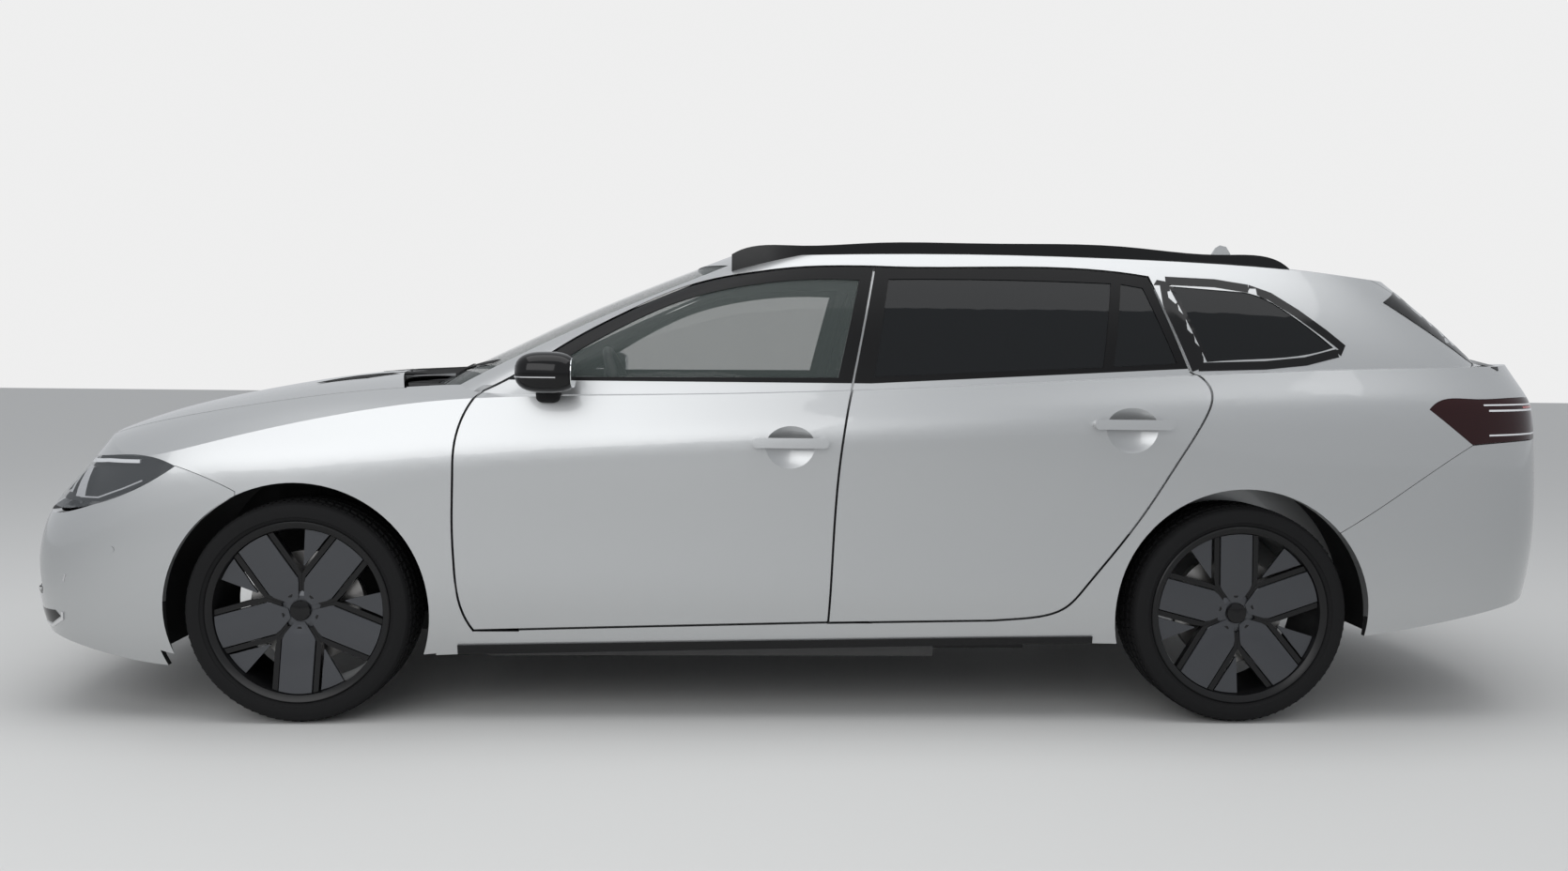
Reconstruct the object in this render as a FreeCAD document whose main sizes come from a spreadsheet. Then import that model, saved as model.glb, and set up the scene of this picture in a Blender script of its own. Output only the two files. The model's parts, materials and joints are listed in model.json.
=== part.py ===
import FreeCAD, Part
import Sketcher
import math
import os
from FreeCAD import Placement, Rotation, Vector

# Station wagon. The nose points to -X and the left side to -Y, with +Z up.
# The origin is on the ground, at the middle of the length and of the width.

SIZES = {
    # whole car
    "body_length": 4917,
    "half_width": 925,
    "body_height": 1480,
    "wheel_base": 2841,
    "front_overhang": 920,
    "front_track": 1585,
    "rear_track": 1573,
    # shell
    "skin_wall": 14,
    "lower_wall": 110,
    "upper_wall": 45,
    "roof_wall": 30,
    "shut_gap": 7,
    "flange_depth": 9,
    "seal_step": 22,
    "bonnet_wall": 28,
    "bumper_wall": 24,
    "rail_offset": 585,
    "glass_wall": 5,
    "glass_recess": 3,
    "glass_gap": 0.3,
    "floor_wall": 40,
    "floor_bottom": 175,
    "house_wall": 12,
    "house_lap": 10,
    "lamp_depth": 60,
    "lamp_gap": 1,
    "skin_slack": 1,
    "fin_half": 20,
    "underbody_half": 560,
    "sill_wall": 6,
    "cowl_gap": 2,
    "cowl_inset": 3,
    # grille
    "grille_inset": 10,
    "groove_depth": 34,
    "slat_count": 7,
    "corner_inset": 12,
    "corner_groove": 18,
    # wheels
    "tyre_radius": 336,
    "tyre_width": 235,
    "rim_radius": 272,
    "rim_width": 226,
    "bead_radius": 254,
    "hub_radius": 74,
    "spoke_count": 5,
    "blade_half": 50,
    "blade_level": 74,
    "blade_wall": 16,
    "arm_gap": 1,
    "arm_width": 18,
    "stem_half": 18,
    "fork_level": 60,
    "fork_wall": 33,
    "fin_sweep": 20,
    "wheel_face": 45,
    "barrel_wall": 9,
    "lip_width": 10,
    "lip_depth": 12,
    "lip_step": 3,
    "lip_slope": 30,
    "hub_wall": 34,
    "disc_offset": 40,
    "disc_clear": 5,
    "bore_radius": 33.5,
    "disc_radius": 172,
    "disc_wall": 28,
    "arch_radius": 389,
    "wheelhouse_radius": 424,
    "liner_wall": 4,
    # front knuckle
    "bearing_gap": 0.05,
    "kingpin_inset": 92,
    "axle_end": 40,
    "carrier_radius": 62,
    "carrier_gap": 8,
    "carrier_back": 30,
    "post_half": 30,
    "post_wall_half": 24,
    "post_below": 150,
    "post_above": 110,
    "caliper_start": 95,
    "caliper_past": 22,
    "caliper_wall": 36,
    "caliper_back": 30,
    "caliper_below": 70,
    "caliper_above": 80,
    "steer_arm_start": 20,
    "steer_arm_long": 130,
    "steer_arm_half": 24,
    "steer_arm_lead": 10,
    # suspension
    "strut_radius": 34,
    "strut_lean": 20,
    "strut_foot_offset": 585,
    "strut_foot_level": 190,
    "strut_top_offset": 560,
    "strut_rise": 405,
    "strut_clear": 12,
    "strut_past": 38,
    "front_beam_lead": 60,
    "front_beam_trail": 300,
    "front_beam_half": 420,
    "front_beam_low": 190,
    "front_beam_high": 250,
    "front_arm_radius": 18,
    "front_arm_trail": 60,
    "front_arm_level": 225,
    "front_arm_offset": 410,
    "arm_space_half": 45,
    "front_space_offset": 720,
    "front_space_drop": 70,
    "rear_space_offset": 760,
    "rear_space_rise": 5,
    "knuckle_room_out": 40,
    "knuckle_room_in": 50,
    "rear_beam_lead": 120,
    "rear_beam_trail": 160,
    "rear_beam_half": 430,
    "rear_beam_low": 260,
    "rear_beam_high": 330,
    "rear_hub_long": 130,
    "rear_carrier_half": 70,
    "rear_carrier_rise": 90,
    "rear_carrier_long": 120,
    "rear_arm_radius": 26,
    "rear_arm_start": 100,
    "rear_arm_drop": 40,
    "rear_arm_offset": 400,
    "rear_arm_level": 290,
    # engine
    "engine_long": 480,
    "engine_wide": 640,
    "engine_tall": 520,
    "engine_bottom": 250,
    # door handles
    "handle_stand": 32,
    "handle_wall": 14,
    "handle_height": 30,
    "handle_foot": 26,
    "dish_radius": 160,
    "dish_offset": 130,
    # steering wheel
    "grip_circle": 182,
    "grip_radius": 16,
    "column_reach": 90,
    "column_long": 220,
    "shroud_radius": 42,
    "boss_radius": 60,
    "boss_start": 12,
    "boss_past": 14,
    "spoke_radius": 14,
    "spoke_reach": 180,
    # seats
    "seat_width": 500,
    "seat_base_half": 180,
    "cushion_low": 330,
    "cushion_top": 520,
    "cushion_long": 520,
    "rest_start": 470,
    "rest_low": 430,
    "head_start": 690,
    "head_end": 780,
    "head_low": 1066,
    "head_top": 1214,
    "head_half": 135,
    "post_start": 740,
    "post_spread": 60,
    "post_low": 1007,
    "post_top": 1091,
    "post_radius": 6,
    "bench_half": 600,
    "bench_top": 560,
    "bench_rest_low": 500,
    # roof rails
    "rail_outer": 48,
    "rail_inner": 14,
    # movement
    "hinge_depth": 20,
    "overrun": 20,
}

doc = FreeCAD.newDocument("StationWagon")
sheet = doc.addObject("Spreadsheet::Sheet", "Sizes")
for row, (alias, value) in enumerate(SIZES.items(), start=1):
    sheet.set("A%d" % row, alias)
    sheet.set("B%d" % row, str(value))
    sheet.setAlias("B%d" % row, alias)
doc.recompute()


def size(alias):
    return float(sheet.get(alias))


length = size("body_length")
halfWidth = size("half_width")
height = size("body_height")
wheelBase = size("wheel_base")
gap = size("shut_gap")
overrun = size("overrun")
noseX = -length / 2
frontAxleX = noseX + size("front_overhang")
rearAxleX = frontAxleX + wheelBase
hubZ = size("tyre_radius")
nodes = []


def addShape(label, shape):
    item = doc.addObject("Part::Feature", label)
    item.Label = label
    item.Shape = shape
    nodes.append(item)
    return item


def mirrored(shape):
    return shape.mirror(Vector(0, 0, 0), Vector(0, 1, 0))


def bothSides(shape):
    return Part.makeCompound([shape, mirrored(shape)])


def solidOf(shape):
    solids = sorted(shape.Solids, key=lambda piece: piece.Volume)
    return solids[-1]


def box(lowX, lowY, lowZ, highX, highY, highZ):
    corner = Vector(lowX, lowY, lowZ)
    return Part.makeBox(highX - lowX, highY - lowY, highZ - lowZ, corner)


def rod(start, end, radius):
    return Part.makeCylinder(radius, (end - start).Length, start, end - start)


def union(shapes):
    result = shapes[0].multiFuse(shapes[1:])
    return result


def sideX(share):
    return frontAxleX + share * wheelBase


def sidePoint(pair):
    return Vector(sideX(pair[0]), 0, pair[1] * height)


# Plan outlines of the lower body, from the sills up. Stations run along the left side from nose to tail.
sideStationShares = [0.106, 0.187, 0.283, 0.398, 0.513, 0.594, 0.675, 0.765, 0.879]
noseStepShares = [0.0, 0.001, 0.012, 0.045]
noseWidthShares = [0.0, 0.42, 0.80, 0.965]
tailStepShares = [0.056, 0.027, 0.004, 0.0]
tailWidthShares = [0.965, 0.80, 0.42, 0.0]
beltHeightShares = [0.645, 0.645, 0.65, 0.655, 0.66, 0.662, 0.665, 0.675, 0.688,
                    0.70, 0.713, 0.728, 0.738, 0.742, 0.742, 0.742, 0.742]
creaseHeightShares = [0.49, 0.49, 0.495, 0.505, 0.52, 0.53, 0.545, 0.567, 0.592,
                      0.61, 0.632, 0.645, 0.655, 0.658, 0.658, 0.658, 0.658]
creaseHalfShare = 0.02


def levelHeights(value):
    return value if isinstance(value, list) else [value] * len(beltHeightShares)


def shifted(shares, step):
    return [share + step for share in shares]


lowerLevels = [
    {"heightShares": 0.06, "nose": 0.020, "tail": 0.024,
     "widthShares": [0.90, 0.92, 0.92, 0.91, 0.91, 0.91, 0.91, 0.91, 0.92, 0.92, 0.90]},
    {"heightShares": 0.14, "nose": 0.004, "tail": 0.014,
     "widthShares": [0.955, 0.965, 0.975, 0.955, 0.95, 0.95, 0.95, 0.955, 0.975, 0.965, 0.955]},
    {"heightShares": 0.235, "nose": -0.002, "tail": 0.006,
     "widthShares": [0.98, 0.995, 1.0, 0.98, 0.975, 0.975, 0.975, 0.98, 1.0, 0.995, 0.985]},
    {"heightShares": 0.29, "nose": -0.002, "tail": 0.003,
     "widthShares": [0.985, 1.0, 1.005, 0.985, 0.98, 0.98, 0.98, 0.985, 1.005, 1.0, 0.99]},
    {"heightShares": 0.40, "nose": 0.002, "tail": -0.002,
     "widthShares": [0.985, 1.0, 1.005, 0.98, 0.975, 0.975, 0.975, 0.98, 1.005, 1.0, 0.99]},
    {"heightShares": shifted(creaseHeightShares, -creaseHalfShare), "nose": 0.020, "tail": 0.002,
     "widthShares": [0.975, 0.995, 1.0, 0.99, 0.99, 0.99, 0.99, 0.99, 1.0, 0.99, 0.985]},
    {"heightShares": shifted(creaseHeightShares, creaseHalfShare), "nose": 0.032, "tail": 0.004,
     "widthShares": [0.96, 0.98, 0.985, 0.985, 0.985, 0.985, 0.985, 0.985, 0.985, 0.98, 0.97]},
    {"heightShares": beltHeightShares, "nose": 0.06, "tail": 0.014,
     "widthShares": [0.90, 0.905, 0.92, 0.94, 0.94, 0.937, 0.931, 0.926, 0.92, 0.905, 0.885]},
    {"heightShares": 0.84, "nose": 0.09, "tail": 0.025,
     "widthShares": [0.83, 0.84, 0.86, 0.88, 0.88, 0.88, 0.875, 0.865, 0.85, 0.83, 0.80]},
    {"heightShares": 0.90, "nose": 0.10, "tail": 0.03,
     "widthShares": [0.80, 0.82, 0.84, 0.86, 0.86, 0.86, 0.855, 0.845, 0.83, 0.81, 0.78]},
]


def ring(leftPoints):
    right = [Vector(point.x, -point.y, point.z) for point in reversed(leftPoints[1:-1])]
    return leftPoints + right


def clampedKnots(count):
    inner = count - 2
    return list(range(inner)), [4] + [1] * (inner - 2) + [4]


def ringSolid(rings):
    around = len(rings[0])
    poles = [[level[index] for level in rings] for index in range(around)]
    knots, mults = clampedKnots(len(rings))
    surface = Part.BSplineSurface()
    surface.buildFromPolesMultsKnots(poles, [1] * (around + 1), mults, list(range(around + 1)), knots,
                                     True, False, 3, 3)
    faces = [surface.toShape()]
    for end in (knots[0], knots[-1]):
        faces.append(Part.Face(Part.Wire([surface.vIso(end).toShape()])))
    shell = Part.makeShell(faces)
    shell.sewShape()
    solid = Part.makeSolid(shell)
    if solid.Volume < 0:
        solid.reverse()
    return solid


def planRing(level, inset):
    nose = level["nose"]
    tail = level["tail"]
    widths = level["widthShares"]
    heights = levelHeights(level["heightShares"])
    stations = [nose + step for step in noseStepShares] + sideStationShares
    stations += [1 - tail - step for step in tailStepShares]
    shares = [widths[0] * share for share in noseWidthShares] + widths[1:-1]
    shares += [widths[-1] * share for share in tailWidthShares]
    points = []
    last = len(stations) - 1
    for index, station in enumerate(stations):
        x = noseX + station * length + inset * (1 - 2 * index / last)
        y = -shares[index] * halfWidth + inset * (0 < index < last)
        points.append(Vector(x, y, heights[index] * height))
    return ring(points)


crownWidthShares = [1.15, 1.0, 0.87, 0.67, 0.35]
# Each row: share of the wheelbase from the front axle, then heights at the crown stations and the middle.
lowerCrown = [
    [-0.42, 0.26, 0.32, 0.38, 0.43, 0.460, 0.470],
    [-0.345, 0.31, 0.38, 0.44, 0.482, 0.510, 0.522],
    [-0.27, 0.36, 0.43, 0.50, 0.540, 0.566, 0.577],
    [-0.20, 0.41, 0.49, 0.565, 0.602, 0.622, 0.630],
    [-0.10, 0.46, 0.55, 0.615, 0.648, 0.664, 0.670],
    [0.0, 0.51, 0.59, 0.650, 0.684, 0.698, 0.703],
    [0.10, 0.56, 0.63, 0.672, 0.702, 0.714, 0.718],
    [0.18, 0.61, 0.652, 0.678, 0.703, 0.713, 0.717],
    [0.30, 0.64, 0.662, 0.676, 0.693, 0.702, 0.706],
    [0.45, 0.65, 0.669, 0.678, 0.688, 0.695, 0.699],
    [0.65, 0.66, 0.685, 0.692, 0.698, 0.702, 0.704],
    [0.86, 0.68, 0.708, 0.716, 0.721, 0.724, 0.725],
    [1.06, 0.70, 0.728, 0.738, 0.743, 0.746, 0.747],
    [1.25, 0.71, 0.738, 0.746, 0.750, 0.752, 0.753],
    [1.45, 0.71, 0.738, 0.746, 0.750, 0.752, 0.753],
]
roofCrown = [
    [0.0, 0.55, 0.60, 0.70, 0.80, 0.84, 0.85],
    [0.22, 0.70, 0.78, 0.86, 0.915, 0.935, 0.94],
    [0.44, 0.84, 0.89, 0.935, 0.968, 0.984, 0.988],
    [0.62, 0.86, 0.91, 0.950, 0.980, 0.994, 0.998],
    [0.80, 0.86, 0.91, 0.950, 0.980, 0.994, 0.998],
    [1.00, 0.85, 0.90, 0.940, 0.968, 0.981, 0.985],
    [1.12, 0.83, 0.88, 0.922, 0.951, 0.964, 0.968],
    [1.24, 0.79, 0.84, 0.886, 0.917, 0.932, 0.937],
    [1.40, 0.74, 0.79, 0.83, 0.865, 0.885, 0.89],
]


def crownSolid(rows, inset):
    poles = []
    for row in rows:
        x = sideX(row[0])
        left = [Vector(x, -share * halfWidth, row[index + 1] * height - inset)
                for index, share in enumerate(crownWidthShares)]
        middle = Vector(x, 0, row[-1] * height - inset)
        right = [Vector(point.x, -point.y, point.z) for point in reversed(left)]
        poles.append(left + [middle] + right)
    alongKnots, alongMults = clampedKnots(len(poles))
    acrossKnots, acrossMults = clampedKnots(len(poles[0]))
    surface = Part.BSplineSurface()
    surface.buildFromPolesMultsKnots(poles, alongMults, acrossMults, alongKnots, acrossKnots,
                                     False, False, 3, 3)
    return surface.toShape().extrude(Vector(0, 0, -height))


hulls = {}


def lowerHull(inset, topInset):
    key = ("lower", inset, topInset)
    if key not in hulls:
        rings = [planRing(level, inset) for level in lowerLevels]
        hulls[key] = ringSolid(rings).common(crownSolid(lowerCrown, topInset))
    return hulls[key]


# Plan outlines of the glasshouse, from below the belt to above the roof.
glassStepShares = [0.0, 0.006, 0.026, 0.062, 0.115]
glassWidthShares = [0.0, 0.45, 0.85, 0.985, 1.0]
glassSideShares = [0.72, 0.90, 1.06]
glassRearStepShares = [0.075, 0.025, 0.006, 0.001, 0.0]
glassRearWidthShares = [1.0, 0.95, 0.70, 0.36, 0.0]
glassLevels = [
    {"heightShare": 0.60, "frontShare": 0.010, "rearShare": 1.365,
     "widthShare": 0.950, "rearWidthShare": 0.93},
    {"heightShare": 0.66, "frontShare": 0.070, "rearShare": 1.355,
     "widthShare": 0.934, "rearWidthShare": 0.91},
    {"heightShare": 0.743, "frontShare": 0.158, "rearShare": 1.325,
     "widthShare": 0.896, "rearWidthShare": 0.875},
    {"heightShare": 0.811, "frontShare": 0.230, "rearShare": 1.290,
     "widthShare": 0.855, "rearWidthShare": 0.83},
    {"heightShare": 0.878, "frontShare": 0.305, "rearShare": 1.255,
     "widthShare": 0.805, "rearWidthShare": 0.78},
    {"heightShare": 0.94, "frontShare": 0.385, "rearShare": 1.22,
     "widthShare": 0.745, "rearWidthShare": 0.72},
    {"heightShare": 1.02, "frontShare": 0.49, "rearShare": 1.18,
     "widthShare": 0.65, "rearWidthShare": 0.62},
]


def glassRing(level, inset):
    front = sideX(level["frontShare"]) + inset
    rear = sideX(level["rearShare"]) - inset
    width = level["widthShare"] * halfWidth - inset
    rearWidth = level["rearWidthShare"] * halfWidth - inset
    z = level["heightShare"] * height
    points = []
    for step, share in zip(glassStepShares, glassWidthShares):
        points.append(Vector(front + step * length, -share * width, z))
    for share in glassSideShares[:-1]:
        points.append(Vector(sideX(share), -width, z))
    points.append(Vector(sideX(glassSideShares[-1]), -(width + rearWidth) / 2, z))
    for step, share in zip(glassRearStepShares, glassRearWidthShares):
        points.append(Vector(rear - step * length, -share * rearWidth, z))
    return ring(points)


def upperHull(inset, topInset):
    key = ("upper", inset, topInset)
    if key not in hulls:
        rings = [glassRing(level, inset) for level in glassLevels]
        hulls[key] = ringSolid(rings).common(crownSolid(roofCrown, topInset))
    return hulls[key]


def placedRuns(runs):
    return [[sidePoint(pair) for pair in run] for run in runs]


def grownRuns(runs, grow):
    corners = [point for run in runs for point in run[:-1]]
    count = len(corners)
    area = sum(corners[i].x * corners[(i + 1) % count].z - corners[(i + 1) % count].x * corners[i].z
               for i in range(count))
    side = 1 if area > 0 else -1
    moved = []
    for index, point in enumerate(corners):
        before = (point - corners[index - 1]).normalize()
        after = (corners[(index + 1) % count] - point).normalize()
        normal = Vector((before.z + after.z) * side, 0, -(before.x + after.x) * side)
        reach = max(1 + before.dot(after), 0.5)
        moved.append(point + normal * (grow / reach))
    result = []
    start = 0
    for run in runs:
        steps = len(run)
        result.append([moved[(start + step) % count] for step in range(steps)])
        start += steps - 1
    return result


def runsWire(runs):
    edges = []
    for run in runs:
        if len(run) == 2:
            edges.append(Part.LineSegment(run[0], run[1]).toShape())
        else:
            curve = Part.BSplineCurve()
            curve.interpolate(Points=run)
            edges.append(curve.toShape())
    return Part.Wire(edges)


def outlinePrism(runs, grow, nearY, farY):
    wire = runsWire(grownRuns(placedRuns(runs), grow))
    face = Part.Face(wire)
    face.translate(Vector(0, nearY, 0))
    return face.extrude(Vector(0, farY - nearY, 0))


# Seams and openings of the left side, as shares of the wheelbase (from the front axle) and of the height.
bSeamRun = [(0.6075, 0.942), (0.579, 0.684), (0.5705, 0.600), (0.5635, 0.480), (0.560, 0.357), (0.556, 0.2095)]
frontDoorRuns = [
    [(0.182, 0.191), (0.170, 0.236), (0.163, 0.323), (0.161, 0.414), (0.162, 0.503), (0.164, 0.576),
     (0.174, 0.636), (0.188, 0.674)],
    [(0.188, 0.674), (0.234, 0.722), (0.282, 0.783), (0.333, 0.837), (0.387, 0.886), (0.429, 0.911),
     (0.473, 0.926), (0.523, 0.938), (0.578, 0.942), (0.6075, 0.942)],
    bSeamRun[:2],
    bSeamRun[1:],
    [(0.556, 0.2095), (0.182, 0.191)],
]
rearDoorRuns = [
    [(0.556, 0.2085)] + list(reversed(bSeamRun[1:-1])),
    list(reversed(bSeamRun[:2])),
    [(0.6075, 0.942), (0.73, 0.943), (0.867, 0.938), (0.911, 0.927)],
    [(0.911, 0.927), (0.946, 0.727)],
    [(0.946, 0.727), (0.963, 0.68), (0.956, 0.643), (0.924, 0.540), (0.8976, 0.458), (0.865, 0.370),
     (0.829, 0.283), (0.810, 0.2436), (0.773, 0.221), (0.731, 0.2145)],
    [(0.731, 0.2145), (0.556, 0.2085)],
]
frontWindowRuns = [
    [(0.246, 0.704), (0.565, 0.708)],
    [(0.565, 0.708), (0.590, 0.912)],
    [(0.590, 0.912), (0.523, 0.911), (0.473, 0.900), (0.429, 0.883), (0.387, 0.858), (0.333, 0.809),
     (0.282, 0.752), (0.246, 0.704)],
]
rearWindowRuns = [
    [(0.603, 0.710), (0.851, 0.735)],
    [(0.851, 0.735), (0.868, 0.912)],
    [(0.868, 0.912), (0.73, 0.917), (0.622, 0.915)],
    [(0.622, 0.915), (0.603, 0.710)],
]
smallWindowRuns = [
    [(0.862, 0.736), (0.932, 0.744)],
    [(0.932, 0.744), (0.903, 0.903)],
    [(0.903, 0.903), (0.879, 0.911)],
    [(0.879, 0.911), (0.862, 0.736)],
]
quarterWindowRuns = [
    [(0.965, 0.748), (1.03, 0.756), (1.075, 0.765), (1.108, 0.781)],
    [(1.108, 0.781), (1.09, 0.812), (1.065, 0.850), (1.04, 0.882), (1.015, 0.897)],
    [(1.015, 0.897), (0.932, 0.908)],
    [(0.932, 0.908), (0.965, 0.748)],
]
headlampRuns = [
    [(-0.30, 0.435), (-0.209, 0.441), (-0.175, 0.463), (-0.122, 0.520)],
    [(-0.122, 0.520), (-0.151, 0.538), (-0.203, 0.536), (-0.26, 0.524), (-0.33, 0.50)],
    [(-0.33, 0.50), (-0.30, 0.435)],
]
bumperSeamRun = [(-0.122, 0.520), (-0.086, 0.495), (-0.060, 0.471)]
tailLampRuns = [
    [(1.198, 0.656), (1.209, 0.672), (1.25, 0.678), (1.293, 0.680), (1.42, 0.682)],
    [(1.42, 0.682), (1.42, 0.590)],
    [(1.42, 0.590), (1.302, 0.590), (1.248, 0.583)],
    [(1.248, 0.583), (1.198, 0.656)],
]
rearBumperRuns = [
    [(1.42, 0.590), (1.302, 0.590), (1.248, 0.583)],
    [(1.248, 0.583), (1.202, 0.528), (1.152, 0.463), (1.10, 0.400)],
    [(1.10, 0.400), (1.10, 0.06)],
    [(1.10, 0.06), (1.42, 0.06)],
    [(1.42, 0.06), (1.42, 0.590)],
]
frontBumperRuns = [
    [(-0.36, 0.505), (-0.33, 0.50), (-0.30, 0.435), (-0.209, 0.441), (-0.175, 0.463), (-0.122, 0.520)],
    bumperSeamRun,
    [(-0.060, 0.471), (-0.060, 0.06)],
    [(-0.060, 0.06), (-0.36, 0.06)],
    [(-0.36, 0.06), (-0.36, 0.505)],
]
cornerRuns = [
    [(-0.36, 0.398), (-0.312, 0.392)],
    [(-0.312, 0.392), (-0.296, 0.340), (-0.281, 0.262)],
    [(-0.281, 0.262), (-0.310, 0.250)],
    [(-0.310, 0.250), (-0.36, 0.258)],
    [(-0.36, 0.258), (-0.36, 0.398)],
]
undersideRuns = [
    [(-0.40, 0.175), (-0.27, 0.165), (-0.245, 0.155), (-0.20, 0.135), (-0.137, 0.115)],
    [(-0.137, 0.115), (0.15, 0.139), (0.80, 0.168), (1.14, 0.187), (1.214, 0.211), (1.276, 0.234),
     (1.45, 0.245)],
    [(1.45, 0.245), (1.45, -0.1)],
    [(1.45, -0.1), (-0.40, -0.1)],
    [(-0.40, -0.1), (-0.40, 0.175)],
]

lowerWall = size("lower_wall")
upperWall = size("upper_wall")
flangeDepth = size("flange_depth")
sealStep = size("seal_step")
outerY = -halfWidth - overrun
wallY = -halfWidth + 3.9 * lowerWall
farY = halfWidth + overrun
underside = outlinePrism(undersideRuns, 0, outerY, farY)
outerHull = lowerHull(0, 0).fuse(upperHull(0, 0)).cut(underside)
flangeHull = lowerHull(flangeDepth, flangeDepth).fuse(upperHull(flangeDepth, flangeDepth))
cabinLow = size("floor_bottom") + size("floor_wall")
cabin = lowerHull(lowerWall, upperWall).common(
    box(sideX(0.12), -halfWidth, 0, sideX(1.40), halfWidth, height))
cabin = cabin.fuse(upperHull(upperWall, size("roof_wall")))


def wheelCylinder(axleX, radius, nearY, farY):
    base = Vector(axleX, nearY, hubZ)
    return Part.makeCylinder(radius, farY - nearY, base, Vector(0, 1, 0))


skinDepthY = -halfWidth + 3 * size("skin_wall")
houseInnerY = -size("front_track") / 2 + size("tyre_width") * 1.7
rearHouseY = -size("rear_track") / 2 + size("tyre_width") * 0.66


def archCuts(axleX, innerY):
    skin = wheelCylinder(axleX, size("arch_radius"), outerY, skinDepthY)
    house = wheelCylinder(axleX, size("wheelhouse_radius"), skinDepthY, innerY)
    return skin.fuse(house)


frontArch = archCuts(frontAxleX, houseInnerY)
rearArch = archCuts(rearAxleX, rearHouseY)

# Doors
frontHingeX = sideX(0.192)
rearHingeX = sideX(0.578)
hingeY = -halfWidth + size("hinge_depth")


def doorShell(runs, windows):
    skin = outerHull.common(outlinePrism(runs, -gap / 2, outerY, wallY)).cut(flangeHull)
    core = flangeHull.common(outlinePrism(runs, -sealStep - gap, outerY, wallY)).cut(cabin).cut(underside)
    door = solidOf(skin).fuse(solidOf(core))
    for window in windows:
        door = door.cut(outlinePrism(window, 0, outerY, wallY))
    return solidOf(door.cut(rearArch))


rebateDepth = flangeDepth + 1.5 * gap
rebateHull = lowerHull(rebateDepth, rebateDepth).fuse(upperHull(rebateDepth, rebateDepth))


def doorOpening(runs):
    skin = outlinePrism(runs, gap / 2, outerY, wallY).cut(rebateHull)
    core = outlinePrism(runs, gap - sealStep, outerY, wallY)
    return skin.fuse(core)


glassOuter = upperHull(size("glass_recess"), size("glass_recess"))
glassInner = upperHull(size("glass_recess") + size("glass_wall"), size("glass_recess") + size("glass_wall"))
glassShell = glassOuter.cut(glassInner)


def pane(runs):
    return solidOf(glassShell.common(outlinePrism(runs, -size("glass_gap"), outerY, wallY + upperWall * 4)))


gripOut = size("handle_stand")
gripShell = lowerHull(-gripOut, 0).cut(lowerHull(-gripOut + size("handle_wall"), -gap))


def withHandle(door, startShare, endShare, rise):
    half = size("handle_height") / 2
    middle = rise * height
    startX = sideX(startShare)
    endX = sideX(endShare)
    dishX = (startX + endX) / 2
    dishCentre = Vector(dishX, -halfWidth - size("dish_offset"), middle - half / 2)
    dish = Part.makeSphere(size("dish_radius"), dishCentre)
    corner = Vector(startX, outerY - gripOut, middle - half)
    bar = Part.makeBox(endX - startX, wallY - outerY, 2 * half, corner)
    slack = size("skin_slack")
    bar = bar.makeFillet(half * 0.9, [edge for edge in bar.Edges if edge.Length > wallY - outerY - slack
                                      and edge.BoundBox.YLength > slack])
    foot = size("handle_foot")
    feet = lowerHull(-gripOut, 0).cut(lowerHull(gap, -gap)).common(bar)
    ends = feet.cut(box(startX + foot, outerY - gripOut, 0, endX - foot, 0, height))
    return solidOf(door.cut(dish).fuse(gripShell.common(bar)).fuse(ends))


frontDoor = withHandle(doorShell(frontDoorRuns, [frontWindowRuns]), 0.4735, 0.5535, 0.5775)
rearDoor = withHandle(doorShell(rearDoorRuns, [rearWindowRuns, smallWindowRuns]), 0.8335, 0.917, 0.6205)
frontPane = pane(frontWindowRuns)
rearPanes = Part.makeCompound([pane(rearWindowRuns), pane(smallWindowRuns)])
for name, side in (("left", 1), ("right", -1)):
    for label, shape in (("door_front", frontDoor), ("door_rear", rearDoor),
                         ("door_glass_front", frontPane), ("door_glass_rear", rearPanes)):
        addShape(label + "_" + name, shape if side > 0 else mirrored(shape))


def frontPrism(runs, lowX, highX, grow=0):
    points = [[Vector(pair[0] * halfWidth, 0, pair[1] * height) for pair in run] for run in runs]
    face = Part.Face(runsWire(grownRuns(points, grow)))
    face.rotate(Vector(0, 0, 0), Vector(0, 0, 1), 90)
    face.translate(Vector(lowX, 0, 0))
    return face.extrude(Vector(highX - lowX, 0, 0))


def planPrism(runs, lowZ, highZ, grow=0):
    points = [[Vector(sideX(pair[0]), 0, pair[1] * halfWidth) for pair in run] for run in runs]
    face = Part.Face(runsWire(grownRuns(points, grow)))
    face.rotate(Vector(0, 0, 0), Vector(1, 0, 0), -90)
    face.translate(Vector(0, 0, lowZ))
    return face.extrude(Vector(0, 0, highZ - lowZ))


def symmetricRuns(leftRuns):
    mirrorRuns = [[(pair[0], -pair[1]) for pair in reversed(run)] for run in reversed(leftRuns)]
    return leftRuns + mirrorRuns


def acrossRuns(leftRuns):
    mirrorRuns = [[(-pair[0], pair[1]) for pair in reversed(run)] for run in reversed(leftRuns)]
    return leftRuns + mirrorRuns


railY = size("rail_offset")
skinWall = size("skin_wall")
bonnetWall = size("bonnet_wall")
bumperWall = size("bumper_wall")
seat = size("glass_gap")
roofSeamX = sideX(1.102)
pillarX = sideX(0.125)

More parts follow.
